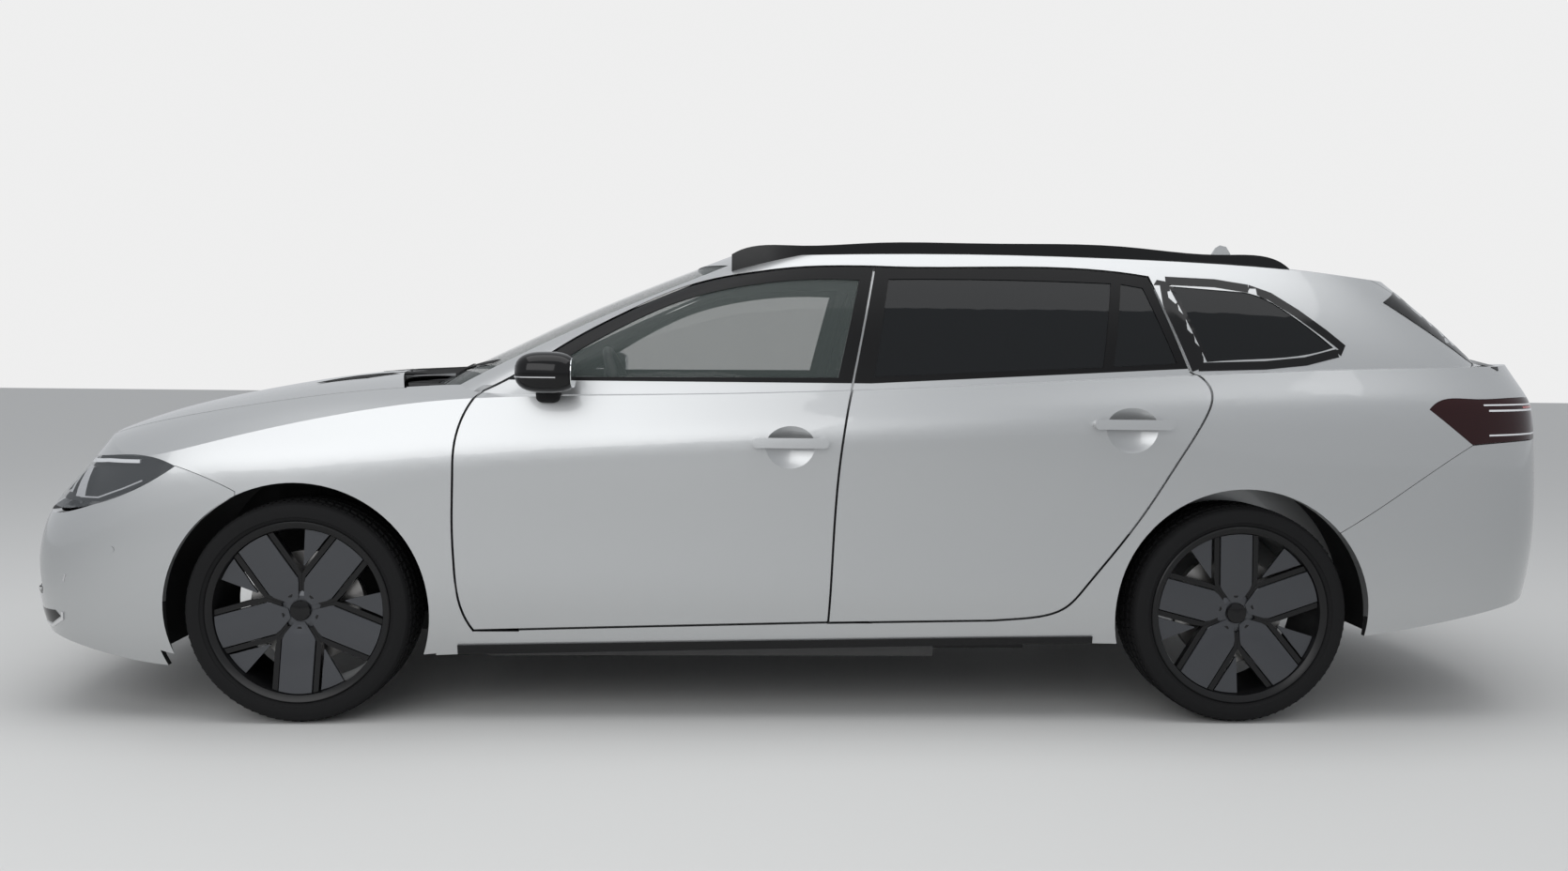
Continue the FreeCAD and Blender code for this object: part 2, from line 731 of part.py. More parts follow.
windscreenRuns = acrossRuns([
    [(0.0, 0.953), (-0.30, 0.952), (-0.61, 0.945)],
    [(-0.61, 0.945), (-0.635, 0.925), (-0.715, 0.815), (-0.80, 0.68)],
    [(-0.80, 0.68), (-0.50, 0.668), (0.0, 0.66)],
])
rearGlassRuns = acrossRuns([
    [(0.0, 0.895), (-0.45, 0.893)],
    [(-0.45, 0.893), (-0.55, 0.885), (-0.60, 0.83), (-0.64, 0.775)],
    [(-0.64, 0.775), (-0.60, 0.752), (0.0, 0.750)],
])
tailgateRuns = acrossRuns([
    [(0.0, 1.05), (-0.665, 1.05)],
    [(-0.665, 1.05), (-0.668, 0.70)],
    [(-0.668, 0.70), (-0.665, 0.62), (-0.645, 0.53), (-0.58, 0.455)],
    [(-0.58, 0.455), (0.0, 0.445)],
])
bonnetRuns = symmetricRuns([
    [(-0.295, 0.0), (-0.293, -0.25), (-0.280, -0.45), (-0.255, -0.60)],
    [(-0.255, -0.60), (-0.20, -0.70), (-0.12, -0.765), (0.0, -0.80), (0.102, -0.81)],
    [(0.102, -0.81), (0.085, -0.60), (0.066, -0.30), (0.060, 0.0)],
])

windscreenPrism = frontPrism(windscreenRuns, sideX(-0.1), sideX(0.46))
rearGlassPrism = frontPrism(rearGlassRuns, sideX(1.12), sideX(1.45))


def sideFrame():
    frame = outerHull.common(box(pillarX, outerY, 0, sideX(1.45), -railY, height)).cut(cabin)
    fenderZone = box(pillarX, outerY, 0, sideX(0.188), 0, 0.66 * height)
    frame = frame.cut(lowerHull(0, 0).cut(lowerHull(skinWall + seat, skinWall + seat)).common(fenderZone))
    frame = frame.cut(doorOpening(frontDoorRuns)).cut(doorOpening(rearDoorRuns))
    frame = frame.cut(outlinePrism(quarterWindowRuns, 0, outerY, wallY))
    frame = frame.cut(windscreenPrism).cut(rearArch).cut(frontArch)
    frame = frame.cut(frontPrism(tailgateRuns, roofSeamX, sideX(1.45)))
    frame = frame.cut(outlinePrism(tailLampRuns, 0, outerY, 0))
    bumperZone = outerHull.cut(lowerHull(bumperWall + seat, bumperWall + seat))
    frame = frame.cut(bumperZone.common(outlinePrism(rearBumperRuns, 0, outerY, 0)))
    for hingeX, frontShare, lowShare in ((frontHingeX, 0.1565, 0.191), (rearHingeX, 0.555, 0.2095)):
        low = lowShare * height - gap / 2
        reach = hingeX - sideX(frontShare) + gap
        frame = frame.cut(Part.makeCylinder(reach, 0.685 * height - low, Vector(hingeX, hingeY, low)))
    wall = size("house_wall")
    houseOuterY = -halfWidth + lowerWall - size("house_lap")
    house = wheelCylinder(rearAxleX, size("wheelhouse_radius") + wall, houseOuterY, rearHouseY + wall)
    house = house.cut(wheelCylinder(rearAxleX, size("wheelhouse_radius"), outerY, rearHouseY))
    house = house.common(box(sideX(0.7), outerY, 0.262 * height, sideX(1.3), 0, height))
    return solidOf(frame.fuse(house))


strutFoot = Vector(frontAxleX + size("strut_lean"), -size("strut_foot_offset"), size("strut_foot_level"))
strutTop = Vector(frontAxleX, -size("strut_top_offset"), hubZ + size("strut_rise"))
strutPast = (strutTop - strutFoot).normalize() * size("strut_past")
armHalf = size("arm_space_half")
armSpaces = [
    box(frontAxleX - armHalf, -size("front_space_offset"), 0, frontAxleX + armHalf, 0,
        hubZ - size("front_space_drop")),
    box(rearAxleX - armHalf, -size("rear_space_offset"), 0, rearAxleX + armHalf, 0,
        hubZ + size("rear_space_rise")),
    rod(strutFoot - strutPast, strutTop + strutPast, size("strut_radius") + size("strut_clear")),
]
leftFrame = sideFrame()
for space in armSpaces:
    leftFrame = leftFrame.cut(space)
leftFrame = solidOf(leftFrame)
addShape("side_frame_left", leftFrame)
addShape("side_frame_right", mirrored(leftFrame))

roof = outerHull.common(box(sideX(0.30), -railY, 0.88 * height, roofSeamX, railY, height)).cut(cabin)
roof = solidOf(roof.cut(windscreenPrism))


def antennaFin():
    outline = [(1.056, 0.965), (1.057, 0.986), (1.063, 1.000), (1.072, 1.0285), (1.077, 1.0345),
               (1.085, 1.031), (1.090, 1.015), (1.094, 0.965)]
    half = Vector(0, size("fin_half"), 0)
    corners = [sidePoint(pair) - half for pair in outline]
    slab = Part.Face(Part.makePolygon(corners + corners[:1])).extrude(half * 2)
    taper = [(-0.020, 0.960), (-0.004, 1.04), (0.004, 1.04), (0.020, 0.960)]
    sides = [Vector(sideX(1.0), share * halfWidth, rise * height) for share, rise in taper]
    wedge = Part.Face(Part.makePolygon(sides + sides[:1])).extrude(Vector(0.2 * wheelBase, 0, 0))
    return slab.common(wedge).cut(upperHull(skinWall, skinWall))


addShape("roof_panel", solidOf(roof.fuse(antennaFin())))

windscreen = glassOuter.cut(upperHull(size("glass_recess") + 2 * size("glass_wall"),
                                      size("glass_recess") + 2 * size("glass_wall")))
windscreen = solidOf(windscreen.common(frontPrism(windscreenRuns, sideX(-0.05), sideX(0.45))))
quarterPane = pane(quarterWindowRuns)
doorSpace = doorOpening(frontDoorRuns)
windscreen = solidOf(windscreen.cut(doorSpace).cut(mirrored(doorSpace)))
addShape("fixed_glass", Part.makeCompound([windscreen, quarterPane, mirrored(quarterPane)]))

tailgatePrism = frontPrism(tailgateRuns, roofSeamX + gap, sideX(1.45), -gap)
tailgate = outerHull.common(tailgatePrism).cut(cabin)
tailgateLampBox = box(sideX(1.30), -0.70 * halfWidth, 0.595 * height,
                      sideX(1.45), -0.40 * halfWidth, 0.67 * height)
lampDepth = size("lamp_depth")
lampSkin = outerHull.cut(lowerHull(lampDepth, lampDepth))
tailgateLamp = lampSkin.common(tailgateLampBox).common(tailgatePrism)
tailgate = tailgate.cut(tailgateLampBox).cut(mirrored(tailgateLampBox)).cut(rearGlassPrism)
addShape("tailgate", solidOf(tailgate))
addShape("tailgate_lamps", bothSides(solidOf(tailgateLamp)))
rearPane = glassOuter.cut(upperHull(size("glass_recess") + 2 * size("glass_wall"), 0))
addShape("tailgate_glass", solidOf(rearPane.common(frontPrism(rearGlassRuns, sideX(1.12), sideX(1.45)))))

tailLamp = lampSkin.common(outlinePrism(tailLampRuns, -size("lamp_gap"), outerY, 0))
tailLamp = solidOf(tailLamp.cut(frontPrism(tailgateRuns, sideX(0.9), sideX(1.45))).common(
    box(sideX(1), outerY, 0, sideX(1.45), -0.5 * halfWidth, height)))
addShape("tail_lamps", bothSides(tailLamp))

bumperSkin = outerHull.cut(lowerHull(bumperWall, bumperWall))
rearBumper = bumperSkin.common(outlinePrism(rearBumperRuns, -gap / 4, outerY, farY))
rearBumper = rearBumper.cut(frontPrism(tailgateRuns, sideX(0.9), sideX(1.45)))
rearBumper = rearBumper.cut(rearArch).cut(mirrored(rearArch))
rearBumper = rearBumper.cut(tailLamp).cut(mirrored(tailLamp))
addShape("rear_bumper", solidOf(rearBumper))

bonnetPrism = planPrism(bonnetRuns, 0.48 * height, height, -gap)
bonnet = solidOf(outerHull.cut(lowerHull(bonnetWall, bonnetWall)).common(bonnetPrism))
addShape("bonnet", bonnet)

headlampPrism = outlinePrism(headlampRuns, 0, outerY, -0.565 * halfWidth)
headlamp = lampSkin.common(headlampPrism).cut(planPrism(bonnetRuns, 0, height))
headlamp = solidOf(headlamp)
addShape("headlamps", bothSides(headlamp))

grilleHalf = 0.56 * halfWidth
grilleBox = box(sideX(-0.36), -grilleHalf, 0.225 * height, sideX(-0.28), grilleHalf, 0.45 * height)
bumperPrism = outlinePrism(frontBumperRuns, 0, outerY, farY)
frontBumper = bumperSkin.common(bumperPrism).cut(frontArch).cut(mirrored(frontArch)).cut(grilleBox)
frontBumper = frontBumper.cut(planPrism(bonnetRuns, 0.5 * height, height))
frontBumper = frontBumper.cut(headlampPrism).cut(mirrored(headlampPrism))
cornerPrism = outlinePrism(cornerRuns, 0, outerY, -0.66 * halfWidth)
frontBumper = frontBumper.cut(cornerPrism).cut(mirrored(cornerPrism))
addShape("front_bumper", solidOf(frontBumper))
grilleInset = size("grille_inset")
grille = lowerHull(grilleInset, grilleInset).cut(lowerHull(lampDepth, lampDepth))
grille = grille.common(grilleBox).cut(underside)
grille = grille.cut(headlampPrism).cut(mirrored(headlampPrism))
slatCount = int(size("slat_count"))
slatPitch = 0.20 * height / slatCount
grooveHalf = 0.53 * halfWidth
grooves = lowerHull(0, 0).cut(lowerHull(size("groove_depth"), size("groove_depth")))
for step in range(slatCount):
    low = 0.235 * height + step * slatPitch
    groove = box(noseX - overrun, -grooveHalf, low, sideX(-0.2), grooveHalf, low + 0.55 * slatPitch)
    grille = grille.cut(grooves.common(groove))
cornerInset = size("corner_inset")
cornerGrooves = lowerHull(0, 0).cut(lowerHull(size("corner_groove"), size("corner_groove")))
cornerGrille = lowerHull(cornerInset, cornerInset).cut(lowerHull(bumperWall, bumperWall)).common(
    outlinePrism(cornerRuns, -seat, outerY, -0.66 * halfWidth - seat))
for low, high in ((0.262, 0.290), (0.308, 0.332), (0.352, 0.380)):
    cornerGrille = cornerGrille.cut(cornerGrooves.common(
        box(noseX - overrun, outerY, low * height, sideX(-0.2), 0, high * height)))
cornerGrille = solidOf(cornerGrille)
addShape("grille", Part.makeCompound([solidOf(grille), cornerGrille, mirrored(cornerGrille)]))

fender = outerHull.cut(lowerHull(skinWall, skinWall))
fender = fender.common(box(sideX(-0.30), outerY, 0, sideX(0.188), 0, 0.70 * height))
fender = fender.cut(outlinePrism(frontDoorRuns, gap / 2, outerY, 0)).cut(frontArch)
fender = fender.cut(outlinePrism(frontBumperRuns, gap / 4, outerY, 0)).cut(headlampPrism)
slack = size("skin_slack")
fender = fender.cut(planPrism(symmetricRuns(bonnetRuns[:3]), 0, height)).cut(upperHull(-slack, -slack))
fender = solidOf(fender.cut(box(sideX(0.05), -0.80 * halfWidth, 0, sideX(0.2), 0, height)).cut(leftFrame))
addShape("front_fenders", bothSides(fender))

floorOutline = [
    (0.122, 0.62), (0.122, 0.27), (0.19, 0.145), (0.66, 0.145), (0.66, 0.285), (0.86, 0.285), (0.86, 0.33),
    (1.372, 0.33), (1.372, 0.30), (0.88, 0.262), (0.675, 0.258), (0.675, 0.12), (0.19, 0.12), (0.108, 0.26),
    (0.108, 0.62),
]


def polygonPrism(points, nearY, farY):
    corners = [sidePoint(pair) + Vector(0, nearY, 0) for pair in points]
    return Part.Face(Part.makePolygon(corners + corners[:1])).extrude(Vector(0, farY - nearY, 0))


floorPan = polygonPrism(floorOutline, -halfWidth, halfWidth)
floorPan = floorPan.common(lowerHull(lowerWall + seat, 0))
for doorRuns in (frontDoorRuns, rearDoorRuns):
    besideDoor = outlinePrism(doorRuns, -sealStep, outerY, 0).cut(lowerHull(lowerWall + gap, 2 * gap))
    floorPan = floorPan.cut(besideDoor).cut(mirrored(besideDoor))
for side in (1, -1):
    wall = size("house_wall") + seat
    blocker = wheelCylinder(rearAxleX, size("wheelhouse_radius") + wall, outerY, rearHouseY + wall)
    house = wheelCylinder(frontAxleX, size("wheelhouse_radius") + seat, outerY, houseInnerY)
    for cutter in (blocker, house):
        floorPan = floorPan.cut(cutter if side > 0 else mirrored(cutter))
floorPan = floorPan.cut(leftFrame).cut(mirrored(leftFrame))
addShape("floor_pan", solidOf(floorPan))


def namedBody(label):
    body = doc.addObject("PartDesign::Body", label)
    body.Label = label
    nodes.append(body)
    return body


def originPlane(body, role):
    return [part for part in body.Origin.OriginFeatures if part.Role == role][0]


def bodySketch(body, name, role):
    sketch = body.newObject("Sketcher::SketchObject", name)
    sketch.AttachmentSupport = [(originPlane(body, role), "")]
    sketch.MapMode = "FlatFace"
    return sketch


def addPolygon(sketch, points):
    count = len(points)
    corners = [Vector(point[0], point[1], 0) for point in points]
    for index in range(count):
        line = Part.LineSegment(corners[index], corners[(index + 1) % count])
        number = sketch.addGeometry(line, False)
        sketch.addConstraint(Sketcher.Constraint("Block", number))


def addTurned(body, name, points):
    sketch = bodySketch(body, name + "_profile", "XZ_Plane")
    addPolygon(sketch, points)
    turn = body.newObject("PartDesign::Revolution", name + "_turn")
    turn.Profile = sketch
    turn.ReferenceAxis = (sketch, ["V_Axis"])
    turn.Angle = 360
    body.Tip = turn


def revolvedBody(label, points):
    body = namedBody(label)
    addTurned(body, label, points)
    return body


tyreRadius = size("tyre_radius")
tyreHalf = size("tyre_width") / 2
rimRadius = size("rim_radius")
rimHalf = size("rim_width") / 2
beadRadius = size("bead_radius")
flangeWall = rimHalf * 0.07
wheelFace = size("wheel_face")
barrelWall = size("barrel_wall")


def tyreProfile():
    bead = rimHalf - flangeWall - seat
    wall = tyreRadius - rimRadius
    half = [(beadRadius + seat, bead), (rimRadius + size("skin_slack"), bead),
            (rimRadius + 0.12 * wall, tyreHalf * 0.965), (rimRadius + 0.36 * wall, tyreHalf),
            (rimRadius + 0.66 * wall, tyreHalf * 0.985),
            (rimRadius + 0.88 * wall, tyreHalf * 0.91), (rimRadius + 0.98 * wall, tyreHalf * 0.80),
            (tyreRadius, tyreHalf * 0.62)]
    return half + [(radius, -z) for radius, z in reversed(half)]


def rimProfile():
    inner = beadRadius - barrelWall
    return [(inner, -rimHalf), (rimRadius, -rimHalf), (rimRadius, -rimHalf + flangeWall),
            (beadRadius, -rimHalf + flangeWall), (beadRadius, rimHalf - flangeWall),
            (rimRadius, rimHalf - flangeWall), (rimRadius, rimHalf),
            (rimRadius - size("lip_width"), rimHalf), (inner + size("lip_step"), rimHalf - size("lip_depth")),
            (inner, rimHalf - size("lip_slope"))]


def polar(radius, degrees):
    turn = math.radians(degrees)
    return (radius * math.cos(turn), radius * math.sin(turn))


def arcPoints(radius, start, end, steps=4):
    return [polar(radius, start + (end - start) * step / steps) for step in range(steps + 1)]


bladeOuter = beadRadius - barrelWall / 2


def besideBlade(offset, turn, radius=0.0):
    along = math.sqrt(radius ** 2 - offset ** 2) if radius else offset / math.tan(math.radians(turn))
    far, angle = math.hypot(along, offset), math.degrees(math.atan2(offset, along))
    return polar(far, angle - turn)


def upperAndLower(points):
    return points + [(x, -y) for x, y in reversed(points)]


def bladeOutline():
    half = size("blade_half")
    start = [(size("hub_radius") * 0.55, size("stem_half") / 2), (2.06 * half, half)]
    widths = [share * half for share in (1.0, 0.75, 0.5, 0.25)]
    return upperAndLower(start + [(math.sqrt(bladeOuter ** 2 - wide ** 2), wide) for wide in widths])


def forkOutline():
    halfStep = 180 / size("spoke_count")
    near = size("blade_half") + size("arm_gap")
    far = near + size("arm_width")
    stem = size("stem_half")
    shoulder = 1.52 * stem / math.tan(math.radians(halfStep)) + near / math.sin(math.radians(halfStep))
    lowPoint = besideBlade(far, halfStep)
    half = [(size("hub_radius") * 0.56, -stem), (shoulder - 0.45 * near, -stem),
            besideBlade(near, halfStep, bladeOuter), besideBlade(far, halfStep, bladeOuter), (lowPoint[0], 0)]
    return half + [(x, -y) for x, y in reversed(half[:-1])]


def finOutline():
    sweep = size("fin_sweep")
    return [polar(0.53 * bladeOuter, -2)] + arcPoints(bladeOuter, -sweep, -2)


def brakeDisc():
    outer = size("disc_radius")
    hub = size("hub_radius")
    bore = size("bore_radius")
    face = wheelFace - size("disc_offset")
    back = face - size("disc_wall")
    return [(bore, wheelFace), (hub, wheelFace), (hub, face), (outer, face), (outer, back), (bore, back)]


def addArms(body, axis, name, outline, level, depth, turn):
    sketch = bodySketch(body, name, "XY_Plane")
    sketch.AttachmentOffset = Placement(Vector(0, 0, level), Rotation(Vector(0, 0, 1), turn))
    addPolygon(sketch, outline)
    pad = body.newObject("PartDesign::Pad", name + "_pad")
    pad.Profile = sketch
    pad.Length = depth
    pattern = body.newObject("PartDesign::PolarPattern", name + "_ring")
    pattern.Originals = [pad]
    pattern.Axis = (axis, ["N_Axis"])
    pattern.Angle = 360
    pattern.Occurrences = int(size("spoke_count"))
    body.Tip = pattern


def wheelRim(label, turn):
    body = revolvedBody(label, rimProfile())
    hubSketch = bodySketch(body, label + "_hub", "XY_Plane")
    hubSketch.AttachmentOffset = Placement(Vector(0, 0, wheelFace), Rotation())
    number = hubSketch.addGeometry(Part.Circle(Vector(0, 0, 0), Vector(0, 0, 1), size("hub_radius")), False)
    hubSketch.addConstraint(Sketcher.Constraint("Radius", number, size("hub_radius")))
    hubSketch.setExpression("Constraints[0]", "Sizes.hub_radius")
    hub = body.newObject("PartDesign::Pad", label + "_hub_pad")
    hub.Profile = hubSketch
    hub.Length = size("hub_wall")
    body.Tip = hub
    addTurned(body, label + "_brake_disc", brakeDisc())
    between = turn + 180 / size("spoke_count")
    level = size("blade_level")
    wall = size("blade_wall")
    addArms(body, hubSketch, label + "_blade", bladeOutline(), level, wall, turn)
    addArms(body, hubSketch, label + "_fork", forkOutline(), size("fork_level"), size("fork_wall"), between)
    addArms(body, hubSketch, label + "_fin", finOutline(), level, wall, between)
    doc.recompute()
    return body


wheels = []
for end, axleX, track in (("front", frontAxleX, "front_track"), ("rear", rearAxleX, "rear_track")):
    for name, side in (("left", -1), ("right", 1)):
        turned = Rotation(Vector(1, 0, 0), -90 * side)
        bladeTurn = side * 90 - 3 if end == "front" else 3 - side * 90
        place = Placement(Vector(axleX, side * size(track) / 2, hubZ), turned)
        tyre = revolvedBody("tyre_%s_%s" % (end, name), tyreProfile())
        rim = wheelRim("wheel_%s_%s" % (end, name), bladeTurn)
        for item in (tyre, rim):
            item.Placement = place
            wheels.append(item)


def addBox(label, lengthRule, widthRule, heightRule, xRule, yRule, zRule):
    item = doc.addObject("Part::Box", label)
    item.Label = label
    for prop, rule in (("Length", lengthRule), ("Width", widthRule), ("Height", heightRule),
                       ("Placement.Base.x", xRule), ("Placement.Base.y", yRule), ("Placement.Base.z", zRule)):
        item.setExpression(prop, rule)
    nodes.append(item)
    return item


addBox("engine_block", "Sizes.engine_long", "Sizes.engine_wide", "Sizes.engine_tall",
       "-Sizes.body_length / 2 + Sizes.front_overhang - Sizes.engine_long / 2", "-Sizes.engine_wide / 2",
       "Sizes.engine_bottom")

hubHalfY = -size("front_track") / 2
kingpinY = hubHalfY + size("kingpin_inset")
discInnerY = hubHalfY - wheelFace + size("disc_offset") + size("disc_wall")
discOuterY = discInnerY - size("disc_wall")
axleRadius = size("bore_radius") - size("bearing_gap")
postFoot = hubZ - size("post_below")


def frontKnuckle():
    clear = size("disc_clear")
    hub = rod(Vector(frontAxleX, hubHalfY - wheelFace + seat, hubZ),
              Vector(frontAxleX, kingpinY + size("axle_end"), hubZ), axleRadius)
    carrier = rod(Vector(frontAxleX, discInnerY + size("carrier_gap"), hubZ),
                  Vector(frontAxleX, kingpinY + size("carrier_back"), hubZ), size("carrier_radius"))
    postHalf = size("post_half")
    postWall = size("post_wall_half")
    post = box(frontAxleX - postHalf, kingpinY - postWall, postFoot,
               frontAxleX + postHalf, kingpinY + postWall, hubZ + size("post_above"))
    caliper = box(frontAxleX + size("caliper_start"), discOuterY - size("caliper_wall"),
                  hubZ - size("caliper_below"), frontAxleX + size("disc_radius") + size("caliper_past"),
                  discInnerY + size("caliper_back"), hubZ + size("caliper_above"))
    slot = wheelCylinder(frontAxleX, size("disc_radius") + clear, discOuterY - clear, discInnerY + clear)
    armHigh = size("steer_arm_half")
    arm = box(frontAxleX + size("steer_arm_start"), kingpinY - size("steer_arm_lead"), hubZ - armHigh,
              frontAxleX + size("steer_arm_long"), kingpinY + armHigh, hubZ + armHigh)
    hubSpace = wheelCylinder(frontAxleX, size("hub_radius") + clear, outerY, discInnerY + clear)
    carrier = carrier.cut(hubSpace).fuse(hub)
    return solidOf(union([carrier, post, caliper.cut(slot), arm]))


knuckle = frontKnuckle()
addShape("knuckle_front_left", knuckle)
addShape("knuckle_front_right", mirrored(knuckle))


def suspensionParts():
    beamHalf = size("front_beam_half")
    frontBeam = box(frontAxleX - size("front_beam_lead"), -beamHalf, size("front_beam_low"),
                    frontAxleX + size("front_beam_trail"), beamHalf, size("front_beam_high"))
    radius = size("front_arm_radius")
    jointPoint = Vector(frontAxleX, kingpinY, postFoot - radius - seat)
    armEnd = Vector(frontAxleX + size("front_arm_trail"), -size("front_arm_offset"), size("front_arm_level"))
    frontArm = rod(jointPoint, armEnd, radius)
    joint = Part.makeSphere(radius, jointPoint)
    strut = rod(strutFoot, strutTop, size("strut_radius"))
    room = box(frontAxleX - size("front_arm_trail"), kingpinY - size("knuckle_room_out"), postFoot - seat,
               frontAxleX + size("front_arm_trail"), kingpinY + size("knuckle_room_in"), hubZ)
    frontArm = union([frontArm.cut(room), joint, strut])
    beamHalf = size("rear_beam_half")
    rearBeam = box(rearAxleX - size("rear_beam_lead"), -beamHalf, size("rear_beam_low"),
                   rearAxleX + size("rear_beam_trail"), beamHalf, size("rear_beam_high"))
    rearY = -size("rear_track") / 2
    rearDisc = rearY - wheelFace + size("disc_offset") + size("disc_wall")
    rearHub = rod(Vector(rearAxleX, rearY - wheelFace + seat, hubZ),
                  Vector(rearAxleX, rearY + size("rear_hub_long"), hubZ), axleRadius)
    wide = size("rear_carrier_half")
    tall = size("rear_carrier_rise")
    rearCarrier = box(rearAxleX - wide, rearDisc + size("carrier_gap"), hubZ - tall,
                      rearAxleX + wide, rearY + size("rear_carrier_long"), hubZ + tall)
    armStart = Vector(rearAxleX, rearY + size("rear_arm_start"), hubZ - size("rear_arm_drop"))
    armEnd = Vector(rearAxleX, -size("rear_arm_offset"), size("rear_arm_level"))
    rearArm = rod(armStart, armEnd, size("rear_arm_radius"))
    front = [frontBeam, frontArm, mirrored(frontArm)]
    rear = [rearBeam]
    for piece in (rearHub, rearCarrier, rearArm):
        rear += [piece, mirrored(piece)]
    return Part.makeCompound([solidOf(union(front)), solidOf(union(rear))])


addShape("suspension", suspensionParts())


def liner(axleX, innerY, lowX, highX):
    radius = size("wheelhouse_radius") - seat
    shell = wheelCylinder(axleX, radius, skinDepthY, innerY - seat)
    shell = shell.cut(wheelCylinder(axleX, radius - size("liner_wall"), outerY, 0))
    shell = shell.common(box(lowX, outerY, 0.15 * height, highX, 0, height)).cut(underside)
    for space in armSpaces:
        shell = shell.cut(space)
    return shell


linerFront = solidOf(liner(frontAxleX, houseInnerY, sideX(-0.2), sideX(0.2)))
linerRear = solidOf(liner(rearAxleX, rearHouseY, sideX(0.8), sideX(1.2)))
addShape("arch_liners", Part.makeCompound([linerFront, mirrored(linerFront), linerRear, mirrored(linerRear)]))

panHalf = size("underbody_half")
panOutline = [(0.30, 0.108), (0.79, 0.108), (0.79, 0.1195), (0.30, 0.1195)]
addShape("underbody", polygonPrism(panOutline, -panHalf, panHalf))

column = Vector(sideX(0.30), -0.40 * halfWidth, 0.62 * height)
steerAxis = Vector(0.92, 0, 0.38)
steerAxis.normalize()
steerCentre = column + steerAxis * size("column_reach")
gripCount = 10
gripCircle = size("grip_circle")
gripRadius = size("grip_radius")
gripTurns = [2 * math.pi * step / gripCount for step in range(gripCount)]
gripPoints = [Vector(gripCircle + gripRadius * math.cos(turn), 0, gripRadius * math.sin(turn))
              for turn in gripTurns]
gripFace = Part.Face(Part.makePolygon(gripPoints + gripPoints[:1]))
gripRing = gripFace.revolve(Vector(0, 0, 0), Vector(0, 0, 1), 360)
gripRing.Placement = Placement(steerCentre, Rotation(Vector(0, 0, 1), steerAxis))
bossStart = size("boss_start")
boss = rod(column + steerAxis * bossStart, steerCentre + steerAxis * size("boss_past"), size("boss_radius"))
shroudStart = column - steerAxis * size("column_long")
shroud = rod(shroudStart, column + steerAxis * (bossStart - seat), size("shroud_radius"))
spokeReach = Vector(0, size("spoke_reach"), 0)
spokes = rod(steerCentre - spokeReach, steerCentre + spokeReach, size("spoke_radius"))
addShape("steering_wheel", solidOf(union([gripRing, boss, spokes])))

dashCornerRuns = symmetricRuns([
    [(0.10, 0.0), (0.10, -0.60)],
    [(0.10, -0.60), (0.122, -0.60)],
    [(0.122, -0.60), (0.172, -0.80)],
    [(0.172, -0.80), (0.35, -0.84)],
    [(0.35, -0.84), (0.35, 0.0)],
])
dashboard = polygonPrism([(0.1221, 0.50), (0.1221, 0.655), (0.20, 0.668), (0.29, 0.635), (0.30, 0.56),
                          (0.25, 0.50), (0.24, 0.36), (0.15, 0.36)], -halfWidth, halfWidth)
dashboard = dashboard.common(planPrism(dashCornerRuns, 0, height)).common(lowerHull(lowerWall + 3.5 * gap, 0))
addShape("dashboard", solidOf(dashboard.fuse(shroud)))


def seatShape(x, y, wide):
    half = wide / 2
    cushion = box(x, y - half, size("cushion_low"), x + size("cushion_long"), y + half, size("cushion_top"))
    rest = polygonPrism([(0, 0), (0.045, 0), (0.115, 0.42), (0.08, 0.42)], y - half, y + half)
    rest.translate(Vector(x + size("rest_start") - sideX(0), 0, size("rest_low")))
    headHalf = size("head_half")
    head = box(x + size("head_start"), y - headHalf, size("head_low"), x + size("head_end"), y + headHalf,
               size("head_top"))
    postX = x + size("post_start")
    posts = []
    for postY in (y - size("post_spread"), y + size("post_spread")):
        posts.append(rod(Vector(postX, postY, size("post_low")), Vector(postX, postY, size("post_top")),
                         size("post_radius")))
    return union([cushion, rest, head] + posts)


seatY = -0.42 * halfWidth
baseHalf = size("seat_base_half")
frontSeat = seatShape(sideX(0.36), seatY, size("seat_width"))
seatBase = box(sideX(0.38), seatY - baseHalf, cabinLow,
               sideX(0.52), seatY + baseHalf, size("cushion_low") - seat)
frontSeat = frontSeat.fuse(seatBase)
benchHalf = size("bench_half")
bench = box(sideX(0.672), -benchHalf, 0.285 * height + seat, sideX(0.85), benchHalf, size("bench_top"))
benchBack = polygonPrism([(0, 0), (0.045, 0), (0.12, 0.36), (0.085, 0.36)], -benchHalf, benchHalf)
benchBack.translate(Vector(sideX(0.83) - sideX(0), 0, size("bench_rest_low")))
addShape("seats", Part.makeCompound([frontSeat, mirrored(frontSeat), bench.fuse(benchBack)]))

cowlHalf = 0.80 * halfWidth
cowlInset = size("cowl_inset")
cowl = polygonPrism([(0.064, 0.655), (0.115, 0.655), (0.150, 0.683), (0.075, 0.683)], -cowlHalf, cowlHalf)
cowl = cowl.cut(upperHull(-size("cowl_gap"), 0)).cut(planPrism(bonnetRuns, 0, height, gap))
cowl = cowl.common(lowerHull(cowlInset, cowlInset))
cowl = cowl.cut(leftFrame).cut(mirrored(leftFrame)).cut(fender).cut(mirrored(fender))
addShape("cowl", solidOf(cowl))

railRuns = [
    [(0.450, 0.966), (0.456, 0.9725), (0.524, 0.9865), (0.6075, 0.9945), (0.734, 0.9965), (0.894, 0.9935),
     (1.001, 0.9795), (1.075, 0.9575), (1.079, 0.951)],
    [(1.079, 0.951), (1.079, 0.90)],
    [(1.079, 0.90), (0.450, 0.90)],
    [(0.450, 0.90), (0.450, 0.966)],
]
rail = outlinePrism(railRuns, 0, -railY - size("rail_outer"), -railY - size("rail_inner"))
rail = solidOf(rail.cut(upperHull(-seat, -seat)))
addShape("roof_rails", bothSides(rail))

